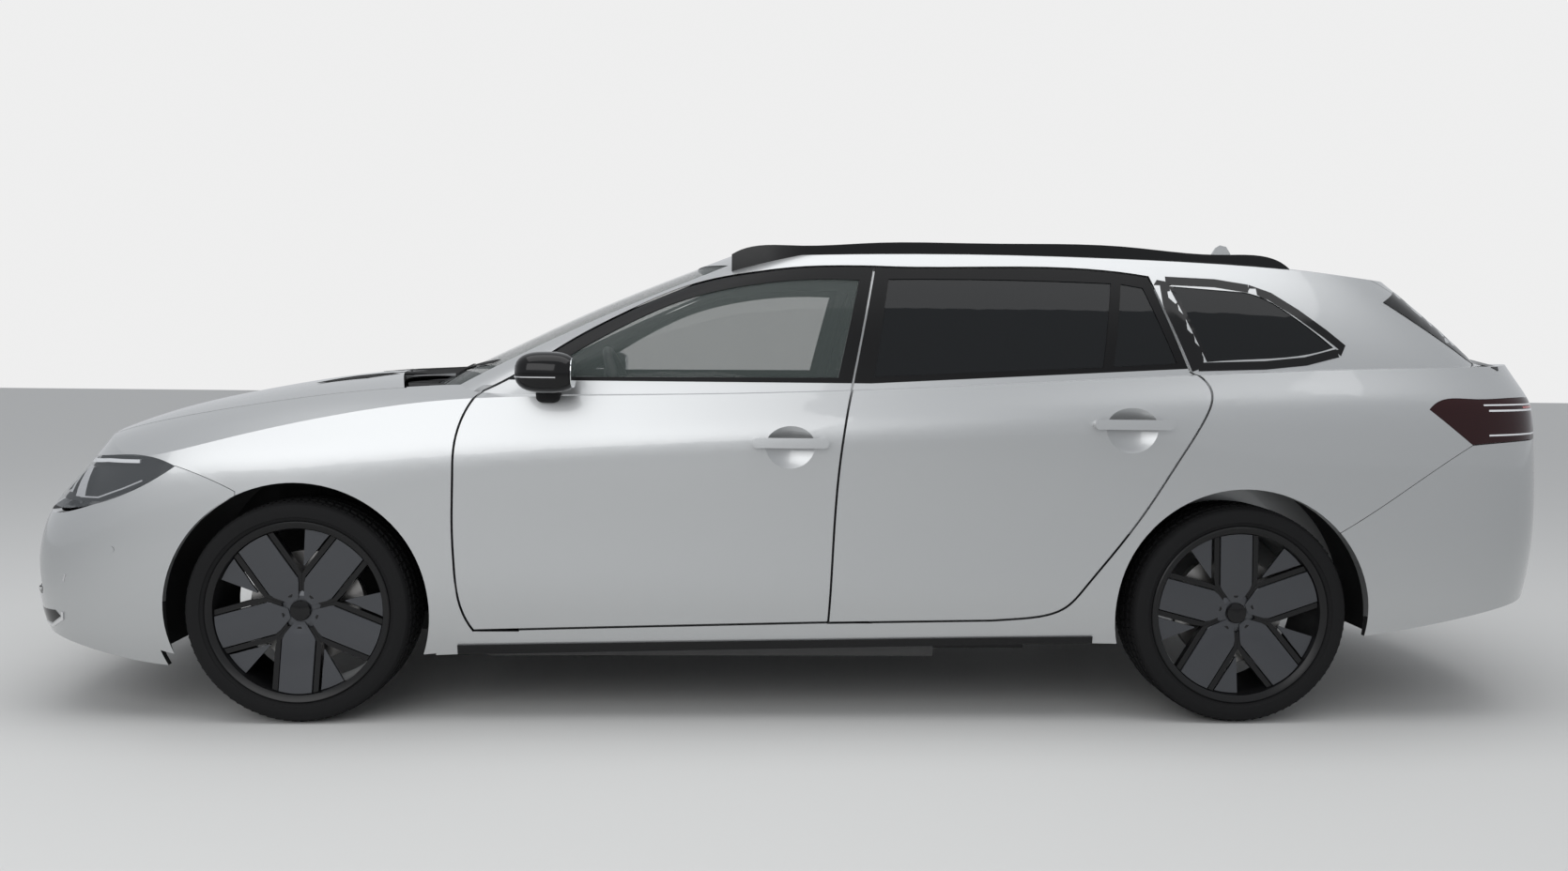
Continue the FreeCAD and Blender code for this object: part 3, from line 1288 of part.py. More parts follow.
sillOutline = [(0.165, 0.14), (0.84, 0.167), (0.84, 0.182), (0.165, 0.160)]
sillBand = polygonPrism(sillOutline, outerY, -0.85 * halfWidth)
sill = lowerHull(-size("sill_wall"), 0).common(sillBand).cut(lowerHull(0, 0)).cut(frontArch).cut(rearArch)
addShape("sill_trims", bothSides(solidOf(sill)))


def rounded(low, high, reach):
    middle = (low + high) * 0.5
    half = (high - low) * 0.5
    ball = Part.makeSphere(1)
    matrix = FreeCAD.Matrix()
    matrix.scale(half.x * reach, half.y * reach, half.z * reach)
    matrix.move(middle)
    return ball.transformGeometry(matrix).common(box(low.x, low.y, low.z, high.x, high.y, high.z))


def mirrorShape():
    head = rounded(Vector(sideX(0.230), -1.130 * halfWidth, 0.674 * height),
                   Vector(sideX(0.297), -0.955 * halfWidth, 0.757 * height), 1.18)
    head = head.cut(box(sideX(0.2915), -1.2 * halfWidth, 0, sideX(0.31), 0, height))
    foot = box(sideX(0.246), -0.99 * halfWidth, 0.66 * height,
               sideX(0.275), -0.86 * halfWidth, 0.695 * height)
    return solidOf(head.fuse(foot).cut(frontDoor).cut(flangeHull))


mirror = mirrorShape()
addShape("mirror_left", mirror)
addShape("mirror_right", mirrored(mirror))

doc.recompute()
for item in nodes:
    state = item.State
    if "Invalid" in state or "Error" in state:
        raise RuntimeError("%s failed: %s" % (item.Label, state))
    if item.Shape.isNull() or not item.Shape.isValid():
        raise RuntimeError("%s has no valid shape" % item.Label)
os.makedirs("parts", exist_ok=True)
for item in nodes:
    item.Shape.exportStep("parts/%s.step" % item.Label)
print("pieces:", len(nodes))
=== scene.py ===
import bpy
import bmesh
import json
import math
from mathutils import Matrix, Vector
from mathutils.bvhtree import BVHTree
from mathutils.geometry import delaunay_2d_cdt


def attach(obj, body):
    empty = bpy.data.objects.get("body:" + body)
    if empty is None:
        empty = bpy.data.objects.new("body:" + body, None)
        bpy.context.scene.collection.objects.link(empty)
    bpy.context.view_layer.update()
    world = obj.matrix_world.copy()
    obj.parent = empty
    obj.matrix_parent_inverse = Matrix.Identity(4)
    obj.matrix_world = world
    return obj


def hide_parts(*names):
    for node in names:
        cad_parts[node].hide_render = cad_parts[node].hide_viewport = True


# Station wagon, nose to -X, left side to -Y, metres. Everything below dresses the loaded frame.
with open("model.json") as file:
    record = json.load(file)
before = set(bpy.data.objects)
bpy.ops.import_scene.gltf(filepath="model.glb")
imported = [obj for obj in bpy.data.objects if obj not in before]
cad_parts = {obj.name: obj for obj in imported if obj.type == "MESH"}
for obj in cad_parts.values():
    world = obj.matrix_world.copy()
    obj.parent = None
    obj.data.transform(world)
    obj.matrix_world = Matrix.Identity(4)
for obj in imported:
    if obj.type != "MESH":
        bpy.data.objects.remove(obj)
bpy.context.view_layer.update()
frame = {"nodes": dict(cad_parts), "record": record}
nodes = frame["nodes"]
print("frame loaded:", len(nodes), "nodes")

car = {
    "length": 4.917, "height": 1.480, "wheelBase": 2.841, "frontOverhang": 0.920, "frontTrack": 1.585,
    "rearTrack": 1.573, "tyreRadius": 0.336, "tyreHalf": 0.1175,
}
frontAxleX = -car["length"] / 2 + car["frontOverhang"]
rearAxleX = frontAxleX + car["wheelBase"]


def sideX(share):
    return frontAxleX + share * car["wheelBase"]


def sidePoints(pairs):
    return [(sideX(share), rise * car["height"]) for share, rise in pairs]


def operator(operation, swapped=False):
    def apply(self, other):
        first, second = (other, self) if swapped else (self, other)
        return self.graph.maths(operation, first, second)
    return apply


class Value:
    # a socket that can be written in sums and comparisons
    def __init__(self, graph, socket):
        self.graph = graph
        self.socket = socket

    __add__, __radd__ = operator("ADD"), operator("ADD", True)
    __sub__, __rsub__ = operator("SUBTRACT"), operator("SUBTRACT", True)
    __mul__, __rmul__ = operator("MULTIPLY"), operator("MULTIPLY", True)
    __truediv__, __gt__, __lt__ = operator("DIVIDE"), operator("GREATER_THAN"), operator("LESS_THAN")


class Graph:
    def __init__(self, tree):
        self.tree = tree

    def node(self, kind, settings=None, inputs=(), output=0):
        made = self.tree.nodes.new(kind)
        for key, value in (settings or {}).items():
            setattr(made, key, value)
        named = inputs.items() if isinstance(inputs, dict) else enumerate(inputs)
        for key, value in named:
            if isinstance(value, Value):
                self.tree.links.new(value.socket, made.inputs[key])
            elif value is not None:
                made.inputs[key].default_value = value
        return Value(self, made.outputs[output])

    def maths(self, operation, first, second=None):
        return self.node("ShaderNodeMath", {"operation": operation}, [first, second])


# The cavity is the hollow inside of the body, found by how far a face looks back at this middle
cavity = {"middle": (0, 0, 0.9), "weight": (0.2, 1, 1), "limit": -0.34}


class Finish(Graph):
    def __init__(self, name, color, roughness, metallic=0.0, coat=0.0):
        self.material = bpy.data.materials.new(name)
        self.material.use_nodes = True
        super().__init__(self.material.node_tree)
        self.shader = self.tree.nodes["Principled BSDF"]
        self.constant("Base Color", (*color, 1.0))
        self.constant("Roughness", roughness)
        self.constant("Metallic", metallic)
        self.constant("Coat Weight", coat)
        self.constant("Coat Roughness", 0.04)

    def constant(self, socket, value):
        self.shader.inputs[socket].default_value = value

    def feed(self, socket, value):
        self.tree.links.new(value.socket, self.shader.inputs[socket])

    def place(self, output="Object"):
        return self.node("ShaderNodeTexCoord", output=output)

    def inside(self):
        # 1 on faces that look towards the cabin, 0 on the outer skin and the shut faces
        centred = self.node("ShaderNodeVectorMath", {"operation": "SUBTRACT"}, [self.place(), cavity["middle"]])
        squashed = self.node("ShaderNodeVectorMath", {"operation": "MULTIPLY"}, [centred, cavity["weight"]])
        facing = self.node("ShaderNodeVectorMath", {"operation": "DOT_PRODUCT"},
                           [squashed, self.place("Normal")], "Value")
        return facing < cavity["limit"]

    def axis(self, letter):
        return self.node("ShaderNodeSeparateXYZ", {}, [self.place()], letter)

    def noise(self, scale, detail=2.0):
        return self.node("ShaderNodeTexNoise", {}, {"Vector": self.place(), "Scale": scale, "Detail": detail})

    def roughen(self, scale, low, high):
        spread = self.noise(scale)
        self.feed("Roughness", spread * (high - low) + low)
        return self

    def bump(self, height, strength, distance=0.001):
        made = self.node("ShaderNodeBump", {}, {"Height": height, "Strength": strength, "Distance": distance})
        self.feed("Normal", made)
        return self

    def tint(self, mask, colorA, colorB):
        # sockets 6 and 7 of a Mix node are its two colours, and output 2 is the mixed one
        colors = {"Factor": mask, 6: (*colorA, 1.0), 7: (*colorB, 1.0)}
        self.feed("Base Color", self.node("ShaderNodeMix", {"data_type": "RGBA"}, colors, 2))
        return self


def glassFinish(name, color, alpha, roughness=0.02):
    glass = Finish(name, color, roughness)
    glass.constant("Alpha", alpha)
    glass.constant("Specular IOR Level", glazing["gloss"])
    glass.material.surface_render_method = "BLENDED"
    return glass


glazing = {"clear": (0.10, 0.12, 0.115), "clearAlpha": 0.32, "dark": (0.006, 0.007, 0.008), "darkAlpha": 0.93,
           "darkFromX": 0.9, "gloss": 0.3}


def bodyGlassFinish():
    # the windscreen and front windows are clear, the fixed panes behind the rear doors are dark
    glass = glassFinish("clear glass", glazing["clear"], glazing["clearAlpha"])
    rearward = glass.axis("X") > glazing["darkFromX"]
    glass.tint(rearward, glazing["clear"], glazing["dark"])
    glass.feed("Alpha", rearward * (glazing["darkAlpha"] - glazing["clearAlpha"]) + glazing["clearAlpha"])
    return glass


panel = {"paint": (0.50, 0.51, 0.515), "trim": (0.006, 0.006, 0.0065), "roughness": 0.34,
         "metallic": 0.80, "gloss": 0.15, "flakeScale": 900.0, "flake": 0.06, "innerRoughness": 0.25,
         "beltRise": 0.697, "beltBend": 0.60, "beltSlope": 0.107}


def panelFinish(name, blackAboveBelt):
    paint = Finish(name, panel["paint"], panel["roughness"], panel["metallic"], 1.0)
    dark = paint.inside()
    if blackAboveBelt:
        share = (paint.axis("X") - frontAxleX) * (1 / car["wheelBase"])
        bend = paint.maths("MAXIMUM", share - panel["beltBend"], 0.0) * panel["beltSlope"]
        above = paint.axis("Z") * (1 / car["height"]) > bend + panel["beltRise"]
        dark = paint.maths("MAXIMUM", dark, above)
        paint.constant("Specular IOR Level", panel["gloss"])
    paint.feed("Coat Weight", 1 - dark)
    paint.tint(dark, panel["paint"], panel["trim"])
    paint.feed("Metallic", (1 - dark) * panel["metallic"])
    flake = paint.noise(panel["flakeScale"], 1.0) * panel["flake"]
    paint.feed("Roughness", panel["roughness"] + flake + paint.inside() * panel["innerRoughness"])
    return paint


# plain finishes: label, colour, roughness, metal, coat, and the noise scale and the roughness it runs between
plainFinishes = {
    "wheel_alloy": ("gloss black alloy", (0.006, 0.006, 0.0065), 0.30, 0.0, 0.0, (40.0, 0.26, 0.34)),
    "blade_alloy": ("gunmetal blade", (0.075, 0.078, 0.085), 0.33, 0.85, 0.2, (60.0, 0.30, 0.38)),
    "iron": ("cast iron", (0.020, 0.020, 0.020), 0.75, 0.2, 0.0, (40.0, 0.65, 0.8)),
    "underbody": ("undertray plastic", (0.025, 0.025, 0.026), 0.7, 0.0, 0.0, (30.0, 0.6, 0.8)),
    "gloss_black": ("piano black", (0.004, 0.004, 0.0045), 0.10, 0.0, 0.0, (20.0, 0.08, 0.13)),
    "cabin_plastic": ("cabin plastic", (0.030, 0.030, 0.032), 0.6, 0.0, 0.0, (80.0, 0.5, 0.7)),
    "body_underside": ("sealed floor", (0.07, 0.07, 0.07), 0.75, 0.0, 0.0, (25.0, 0.65, 0.85)),
    "chrome": ("bright trim", (0.78, 0.78, 0.79), 0.10, 1.0, 0.0, (30.0, 0.08, 0.13)),
    "lamp_white": ("light guide", (0.80, 0.81, 0.83), 0.25, 0.0, 0.5, (50.0, 0.2, 0.3)),
    "lamp_bright_red": ("red light guide", (0.42, 0.02, 0.02), 0.25, 0.0, 0.6, (50.0, 0.2, 0.3)),
    "plate": ("blank plate", (0.78, 0.78, 0.76), 0.35, 0.0, 0.0, (50.0, 0.3, 0.4)),
    "mirror_face": ("mirror face", (0.75, 0.77, 0.78), 0.02, 1.0, 0.0, (10.0, 0.02, 0.04)),
}
# grained finishes: label, colour, roughness, grain scale, bump strength and bump distance
grainedFinishes = {
    "tyre": ("tyre rubber", (0.012, 0.012, 0.0125), 0.85, 350.0, 0.15, 0.001),
    "black_plastic": ("grained black plastic", (0.010, 0.010, 0.0105), 0.7, 900.0, 0.2, 0.0005),
    "cabin_leather": ("dark leather", (0.020, 0.020, 0.021), 0.45, 600.0, 0.25, 0.0005),
    "seat_fabric": ("dark cloth", (0.042, 0.042, 0.046), 0.85, 1200.0, 0.4, 0.0006),
}
glosses = {"tyre": 0.15, "wheel_alloy": 0.3, "black_plastic": 0.2, "gloss_black": 0.32}


def makeFinishes():
    made = {}
    made["body_paint"] = panelFinish("silver paint", False)
    made["door_paint"] = panelFinish("door paint", True)
    made["clear_glass"] = bodyGlassFinish()
    made["privacy_glass"] = glassFinish("privacy glass", glazing["dark"], glazing["darkAlpha"])
    made["lamp_red"] = glassFinish("smoked red lens", (0.022, 0.003, 0.004), 0.94)
    made["lamp_clear"] = glassFinish("clear lens", (0.30, 0.32, 0.34), 0.22)
    made["steel"] = Finish("turned steel", (0.42, 0.41, 0.40), 0.32, 0.95)
    for key, (label, color, roughness, metal, coat, spread) in plainFinishes.items():
        made[key] = Finish(label, color, roughness, metal, coat).roughen(*spread)
    for key, (label, color, roughness, scale, strength, distance) in grainedFinishes.items():
        grained = Finish(label, color, roughness)
        made[key] = grained.bump(grained.noise(scale), strength, distance)
    for key, gloss in glosses.items():
        made[key].constant("Specular IOR Level", gloss)
    return made


finishes = makeFinishes()


doorNodes = ["door_%s_%s" % (end, side) for end in ("front", "rear") for side in ("left", "right")]


def dressCadNodes():
    for part in frame["record"]["subparts"]:
        node = nodes[part["node"]]
        finish = finishes["door_paint" if part["node"] in doorNodes else part["material_slot"]]
        if not node.material_slots:
            node.data.materials.append(finish.material)
        for place in node.material_slots:
            place.material = finish.material


dressCadNodes()
print("finishes on the carried nodes")


def addMesh(name, mesh, finish, bodyName):
    made = bpy.data.objects.new(name.replace(" ", "_"), mesh)
    bpy.context.scene.collection.objects.link(made)
    mesh.materials.clear()
    mesh.materials.append(finishes[finish].material)
    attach(made, bodyName)
    return made


def newPiece(name, shape, finish, bodyName, angle=0.6):
    # edges that bend by more than the angle stay sharp
    bmesh.ops.remove_doubles(shape, verts=shape.verts, dist=1e-6)
    bmesh.ops.recalc_face_normals(shape, faces=shape.faces)
    mesh = bpy.data.meshes.new(name)
    shape.to_mesh(mesh)
    shape.free()
    mesh.shade_smooth()
    mesh.set_sharp_from_angle(angle=angle)
    return addMesh(name, mesh, finish, bodyName)


def addFaces(shape, points, faces):
    made = [shape.verts.new(point) for point in points]
    for face in faces:
        shape.faces.new([made[index] for index in face])
    return made


def mirrorInto(shape):
    twins = bmesh.ops.duplicate(shape, geom=shape.verts[:] + shape.edges[:] + shape.faces[:])["geom"]
    for vert in [item for item in twins if isinstance(item, bmesh.types.BMVert)]:
        vert.co.y = -vert.co.y


def turns(count):
    return [2 * math.pi * step / count for step in range(count)]


def bridge(shape, here, there):
    # a band of faces between two closed rings of vertices
    for index in range(len(here)):
        after = (index + 1) % len(here)
        shape.faces.new((here[index], here[after], there[after], there[index]))


def addLathe(shape, profile, steps, centre, outward):
    # profile pairs are (radius, distance outward along Y)
    rings = [[shape.verts.new((centre[0] + radius * math.cos(turn), centre[1] + outward * out,
                               centre[2] + radius * math.sin(turn))) for radius, out in profile]
             for turn in turns(steps)]
    for step in range(steps):
        bridge(shape, rings[step], rings[(step + 1) % steps])


def addSlab(shape, outline, lift, thickness, place):
    # outline is a flat polygon, lift gives each point's height, place turns (u, v, height) into a point
    top = [shape.verts.new(place(u, v, lift(u, v))) for u, v in outline]
    low = [shape.verts.new(place(u, v, lift(u, v) - thickness)) for u, v in outline]
    shape.faces.new(top)
    shape.faces.new(list(reversed(low)))
    count = len(outline)
    for index in range(count):
        after = (index + 1) % count
        shape.faces.new((top[index], low[index], low[after], top[after]))


def addTube(shape, points, radius, sides=10, closed=False):
    points = [Vector(point) for point in points]
    count = len(points)
    rings = []
    for index, point in enumerate(points):
        before = points[index - 1] if index or closed else point
        after = points[(index + 1) % count] if index < count - 1 or closed else point
        along = (after - before).normalized()
        across = along.cross(Vector((0, 0, 1)))
        across = across.normalized() if across.length > 0.05 else along.cross(Vector((0, 1, 0))).normalized()
        upward = across.cross(along)
        rings.append([shape.verts.new(point + across * radius * math.cos(turn) + upward * radius * math.sin(turn))
                      for turn in turns(sides)])
    for index in range(count if closed else count - 1):
        bridge(shape, rings[index], rings[(index + 1) % count])
    if not closed:
        shape.faces.new(rings[0])
        shape.faces.new(list(reversed(rings[-1])))


def addBlock(shape, low, high):
    corners = [(x, y, z) for x in (low[0], high[0]) for y in (low[1], high[1]) for z in (low[2], high[2])]
    addFaces(shape, corners, [(0, 1, 3, 2), (4, 6, 7, 5), (0, 4, 5, 1), (2, 3, 7, 6), (0, 2, 6, 4), (1, 5, 7, 3)])


# Skin pieces are laid on the body: a flat outline is cut into small faces and each point is dropped on the CAD.
def surfaceOf(names):
    vertices, faces = [], []
    for name in names:
        mesh = nodes[name].data
        start = len(vertices)
        vertices += [vert.co.copy() for vert in mesh.vertices]
        faces += [[start + index for index in polygon.vertices] for polygon in mesh.polygons]
    return BVHTree.FromPolygons(vertices, faces)


# each view has the direction in which it looks and the point from which it looks at (u, v)
views = {
    "side": (Vector((0, 1, 0)), lambda u, v: Vector((u, -2.0, v))),
    "front": (Vector((1, 0, 0)), lambda u, v: Vector((-4.0, u, v))),
    "rear": (Vector((-1, 0, 0)), lambda u, v: Vector((4.0, u, v))),
    "outward": (Vector((0, -1, 0)), lambda u, v: Vector((u, -0.3, v))),
    "dash": (Vector((-1, 0, 0)), lambda u, v: Vector((0.3, u, v))),
}


def steppedOutline(outline, step):
    points = []
    for index, start in enumerate(outline):
        end = outline[(index + 1) % len(outline)]
        span = math.dist(start, end)
        parts = max(1, round(span / step))
        for part in range(parts):
            share = part / parts
            points.append((start[0] + (end[0] - start[0]) * share, start[1] + (end[1] - start[1]) * share))
    return points


def addSkin(shape, surface, view, outline, proud, depth, step=0.03):
    edge = steppedOutline(outline, step)
    lowU, highU = min(point[0] for point in edge), max(point[0] for point in edge)
    lowV, highV = min(point[1] for point in edge), max(point[1] for point in edge)
    inner = [(lowU + (i + 0.5) * step, lowV + (j + 0.5) * step)
             for i in range(int((highU - lowU) / step)) for j in range(int((highV - lowV) / step))]
    flat = [Vector(point) for point in edge + inner]
    cells = delaunay_2d_cdt(flat, [], [list(range(len(edge)))], 1, 1e-5)
    direction, origin = views[view]
    top, low = [], []
    for point in cells[0]:
        start = origin(point.x, point.y)
        spot = surface.ray_cast(start, direction)[0]
        top.append(spot and shape.verts.new(spot - direction * proud))
        low.append(spot and shape.verts.new(spot + direction * depth))
    sides = []
    for face in cells[2]:
        if any(top[index] is None for index in face):
            continue
        shape.faces.new([top[index] for index in face])
        shape.faces.new([low[index] for index in reversed(face)])
        sides += zip(face, face[1:] + face[:1])
    # a side that no other face shares is part of the border
    met = set(sides)
    for start, end in sides:
        if (end, start) not in met:
            shape.faces.new((top[end], top[start], low[start], low[end]))


def band(path, width):
    # an outline of even width about an open path
    left, right = [], []
    for index, point in enumerate(path):
        before = path[max(index - 1, 0)]
        after = path[min(index + 1, len(path) - 1)]
        along = Vector((after[0] - before[0], after[1] - before[1])).normalized()
        across = Vector((-along.y, along.x)) * width / 2
        left.append((point[0] + across.x, point[1] + across.y))
        right.append((point[0] - across.x, point[1] - across.y))
    return left + list(reversed(right))


def layStrokes(shape, surface, viewName, strokes):
    # a stroke is (path, width, height above the body, depth, step); with no width the path is an outline
    for path, width, proud, depth, step in strokes:
        flat = sidePoints(path) if viewName in ("side", "outward") else path
        addSkin(shape, surface, viewName, band(flat, width) if width else flat, proud, depth, step)


def addDisc(shape, surface, viewName, middle, radius, proud, depth):
    outline = [(middle[0] + radius * math.cos(turn), middle[1] + radius * math.sin(turn)) for turn in turns(20)]
    addSkin(shape, surface, viewName, outline, proud, depth, radius)


def addSheet(shape, rows, lift, thickness, place):
    # rows of (u, v) points make one closed plate: lift gives the top's height, place sets a point in the scene
    top = [[shape.verts.new(place(u, v, lift(u, v))) for u, v in row] for row in rows]
    low = [[shape.verts.new(place(u, v, lift(u, v) - thickness)) for u, v in row] for row in rows]
    last, edge = len(rows) - 1, len(rows[0]) - 1
    for i in range(last):
        for j in range(edge):
            shape.faces.new((top[i][j], top[i + 1][j], top[i + 1][j + 1], top[i][j + 1]))
            shape.faces.new((low[i][j], low[i][j + 1], low[i + 1][j + 1], low[i + 1][j]))
        for j in (0, edge):
            shape.faces.new((top[i][j], top[i + 1][j], low[i + 1][j], low[i][j]))
    for j in range(edge):
        for i in (0, last):
            shape.faces.new((top[i][j], top[i][j + 1], low[i][j + 1], low[i][j]))


# Wheels: five broad blades, a thin two-armed fork between each pair and a fin inside each fork
wheel = {"count": 5, "rim": 0.2475, "hubFace": 0.074, "rimFace": 0.096, "hubRadius": 0.045, "bladeHalf": 0.050,
         "ridge": 0.004, "bladeWall": 0.014, "stem": 0.0085, "armNear": 0.0525, "armFar": 0.0680, "armDrop": 0.003,
         "finDrop": 0.009, "boltCircle": 0.056, "bolt": 0.0085, "boltRise": 0.0045, "boltDepth": 0.012,
         "armWall": 0.026, "finWall": 0.010, "armGap": 0.0004, "edgeDrop": 0.0025, "faceCurve": 0.8,
         "steps": 96, "discSteps": 48, "front": -93, "rear": 93}
wheelRows = {
    "blade": (0.034, 0.045, 0.060, 0.075, 0.088, 0.115, 0.150, 0.190, 0.225, None),
    "across": (-1.0, -0.97, -0.5, -0.14, 0.0, 0.14, 0.5, 0.97, 1.0),
    "arm": (0.050, 0.070, 0.0905, 0.115, 0.150, 0.190, 0.225, None),
    "fin": ((0.137, -3), (0.165, -8.5), (0.195, -13.5), (0.225, -16.5), (0.246, -18.5)),
    "finEnd": -1.5,
}
# lathe profiles about the axle, as (radius, distance outward)
wheelProfiles = {
    "rim": [(0.245, -0.113), (0.272, -0.113), (0.272, -0.105), (0.254, -0.105), (0.254, 0.105), (0.2715, 0.105),
            (0.272, 0.111), (0.269, 0.113), (0.263, 0.111), (0.251, 0.103), (0.247, 0.083), (0.245, 0.0)],
    "hub": [(0.020, 0.045), (0.073, 0.045), (0.073, 0.060), (0.066, 0.062), (0.060, 0.068), (0.0445, 0.0725),
            (0.036, 0.0725), (0.020, 0.0715)],
    "cap": [(0.0005, 0.070), (0.031, 0.070), (0.031, 0.079), (0.02883, 0.082), (0.0186, 0.0838), (0.0005, 0.0845)],
    "discOuter": [(0.0335, 0.045), (0.074, 0.045), (0.0755, 0.043), (0.0755, 0.008), (0.171, 0.005), (0.172, 0.004),
                  (0.172, -0.006), (0.0335, -0.006)],
    "discInner": [(0.0335, -0.012), (0.171, -0.012), (0.172, -0.013), (0.172, -0.022), (0.171, -0.023),
                  (0.0335, -0.023)],
    "discVanes": [(0.085, -0.0125), (0.165, -0.0125), (0.165, -0.0055), (0.085, -0.0055)],
}


def polar(radius, angle):
    return (radius * math.cos(angle), radius * math.sin(angle))


def wheelFaceLift(u, v):
    share = (math.hypot(u, v) - wheel["hubRadius"]) / (wheel["rim"] - wheel["hubRadius"])
    share = min(max(share, 0.0), 1.0) ** wheel["faceCurve"]
    return wheel["hubFace"] + (wheel["rimFace"] - wheel["hubFace"]) * share


def turned(points, turn):
    return [(u * math.cos(turn) - v * math.sin(turn), u * math.sin(turn) + v * math.cos(turn)) for u, v in points]


def bladeRows(turn):
    rows = []
    for along in wheelRows["blade"]:
        reach = wheel["rim"] if along is None else along
        half = min(wheel["bladeHalf"], (reach * math.sin(math.pi / 5) - wheel["stem"]) / math.cos(math.pi / 5))
        row = []
        for share in wheelRows["across"]:
            across = half * share
            row.append((math.sqrt(reach ** 2 - across ** 2) if along is None else along, across))
        rows.append(turned(row, turn))
    return rows


def bladeLift(turn):
    def lift(u, v):
        across = abs(-u * math.sin(turn) + v * math.cos(turn)) / wheel["bladeHalf"]
        slope = 0.35 if across < 0.3 else across
        edge = wheel["edgeDrop"] if across > 0.99 else 0.0
        return wheelFaceLift(u, v) + wheel["ridge"] * (1 - slope) - edge
    return lift


def armRows(turn, side):
    # one half of a fork, beside the blade that points along turn
    rows = []
    half = math.pi / 5
    for along in wheelRows["arm"]:
        near, far = wheel["armNear"], wheel["armFar"]
        if along is None:
            pair = [(math.sqrt(wheel["rim"] ** 2 - across ** 2), across)
                    for across in (near, (near + far) / 2, far)]
        else:
            middle = along * math.tan(half) - wheel["armGap"]
            low = min(near, along * math.tan(half) - wheel["stem"] / math.cos(half))
            high = min(far, middle)
            pair = [(along, low), (along, (low + high) / 2), (along, high)]
        rows.append(turned([(u, v * side) for u, v in pair], turn))
    return rows


def finRows(turn):
    rows = []
    for radius, start in wheelRows["fin"]:
        spread = wheelRows["finEnd"] - start
        rows.append([polar(radius, turn + math.radians(start + spread * step / 3)) for step in range(4)])
    return rows


def wheelPlace(end, side):
    # the wheel's centre, and -1 or 1 for the way in which its face looks
    outward = -1 if side == "left" else 1
    axleX = frontAxleX if end == "front" else rearAxleX
    return (axleX, outward * car[end + "Track"] / 2, car["tyreRadius"]), outward


def buildWheel(end, side):
    centre, outward = wheelPlace(end, side)
    name = "%s_%s" % (end, side)
    bodyName = "wheel_" + name
    blades = [math.radians(wheel[end]) + turn for turn in turns(wheel["count"])]

    def place(u, v, height):
        return (centre[0] + u * -outward, centre[1] + outward * height, centre[2] + v)

    shape = bmesh.new()
    addLathe(shape, wheelProfiles["rim"], wheel["steps"], centre, outward)
    for turn in blades:
        for flank in (-1, 1):
            addSheet(shape, armRows(turn, flank), lambda u, v: wheelFaceLift(u, v) - wheel["armDrop"],
                     wheel["armWall"], place)
    rim = newPiece("wheel rim " + name, shape, "wheel_alloy", bodyName, angle=0.4)
    shape = bmesh.new()
    addLathe(shape, wheelProfiles["hub"], wheel["steps"], centre, outward)
    for turn in blades:
        addSheet(shape, bladeRows(turn), bladeLift(turn), wheel["bladeWall"], place)
        addSheet(shape, finRows(turn + math.pi / wheel["count"]), lambda u, v: wheelFaceLift(u, v) - wheel["finDrop"],
                 wheel["finWall"], place)
    newPiece("wheel blades " + name, shape, "blade_alloy", bodyName, 0.12)
    shape = bmesh.new()
    for turn in blades:
        u, v = polar(wheel["boltCircle"], turn)
        corners = [polar(wheel["bolt"], corner * math.pi / 3) for corner in range(6)]
        head = [(u + across, v + rise) for across, rise in corners]
        addSlab(shape, head, lambda a, b: wheel["hubFace"] + wheel["boltRise"], wheel["boltDepth"], place)
    addLathe(shape, wheelProfiles["cap"], wheel["discSteps"], centre, outward)
    newPiece("centre cap " + name, shape, "gloss_black", bodyName)
    shape = bmesh.new()
    for part, steps in (("discOuter", "steps"), ("discInner", "steps"), ("discVanes", "discSteps")):
        addLathe(shape, wheelProfiles[part], wheel[steps], centre, outward)
    newPiece("brake disc " + name, shape, "steel", bodyName)
    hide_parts(bodyName)


# Tyres: a smooth carcass, and rings of tread blocks grown by Geometry Nodes
tyre = {
    "steps": 96, "blocks": 84, "blockLength": 0.021, "blockHeight": 0.0105, "topDrop": 0.0012,
    "crownDrop": 0.012, "skew": 0.35, "phase": 0.026,
    "half": [(0.2545, 0.104), (0.2725, 0.104), (0.274, 0.108), (0.279, 0.1105), (0.283, 0.1125), (0.2855, 0.1165),
             (0.289, 0.1168), (0.300, 0.1175), (0.312, 0.1165), (0.3185, 0.1135), (0.3215, 0.1127),
             (0.325, 0.1085), (0.329, 0.1005), (0.3295, 0.055), (0.3295, 0.0)],
    "ribs": ((-0.086, 0.022), (-0.050, 0.026), (-0.004, 0.034), (0.046, 0.026), (0.084, 0.022)),
}


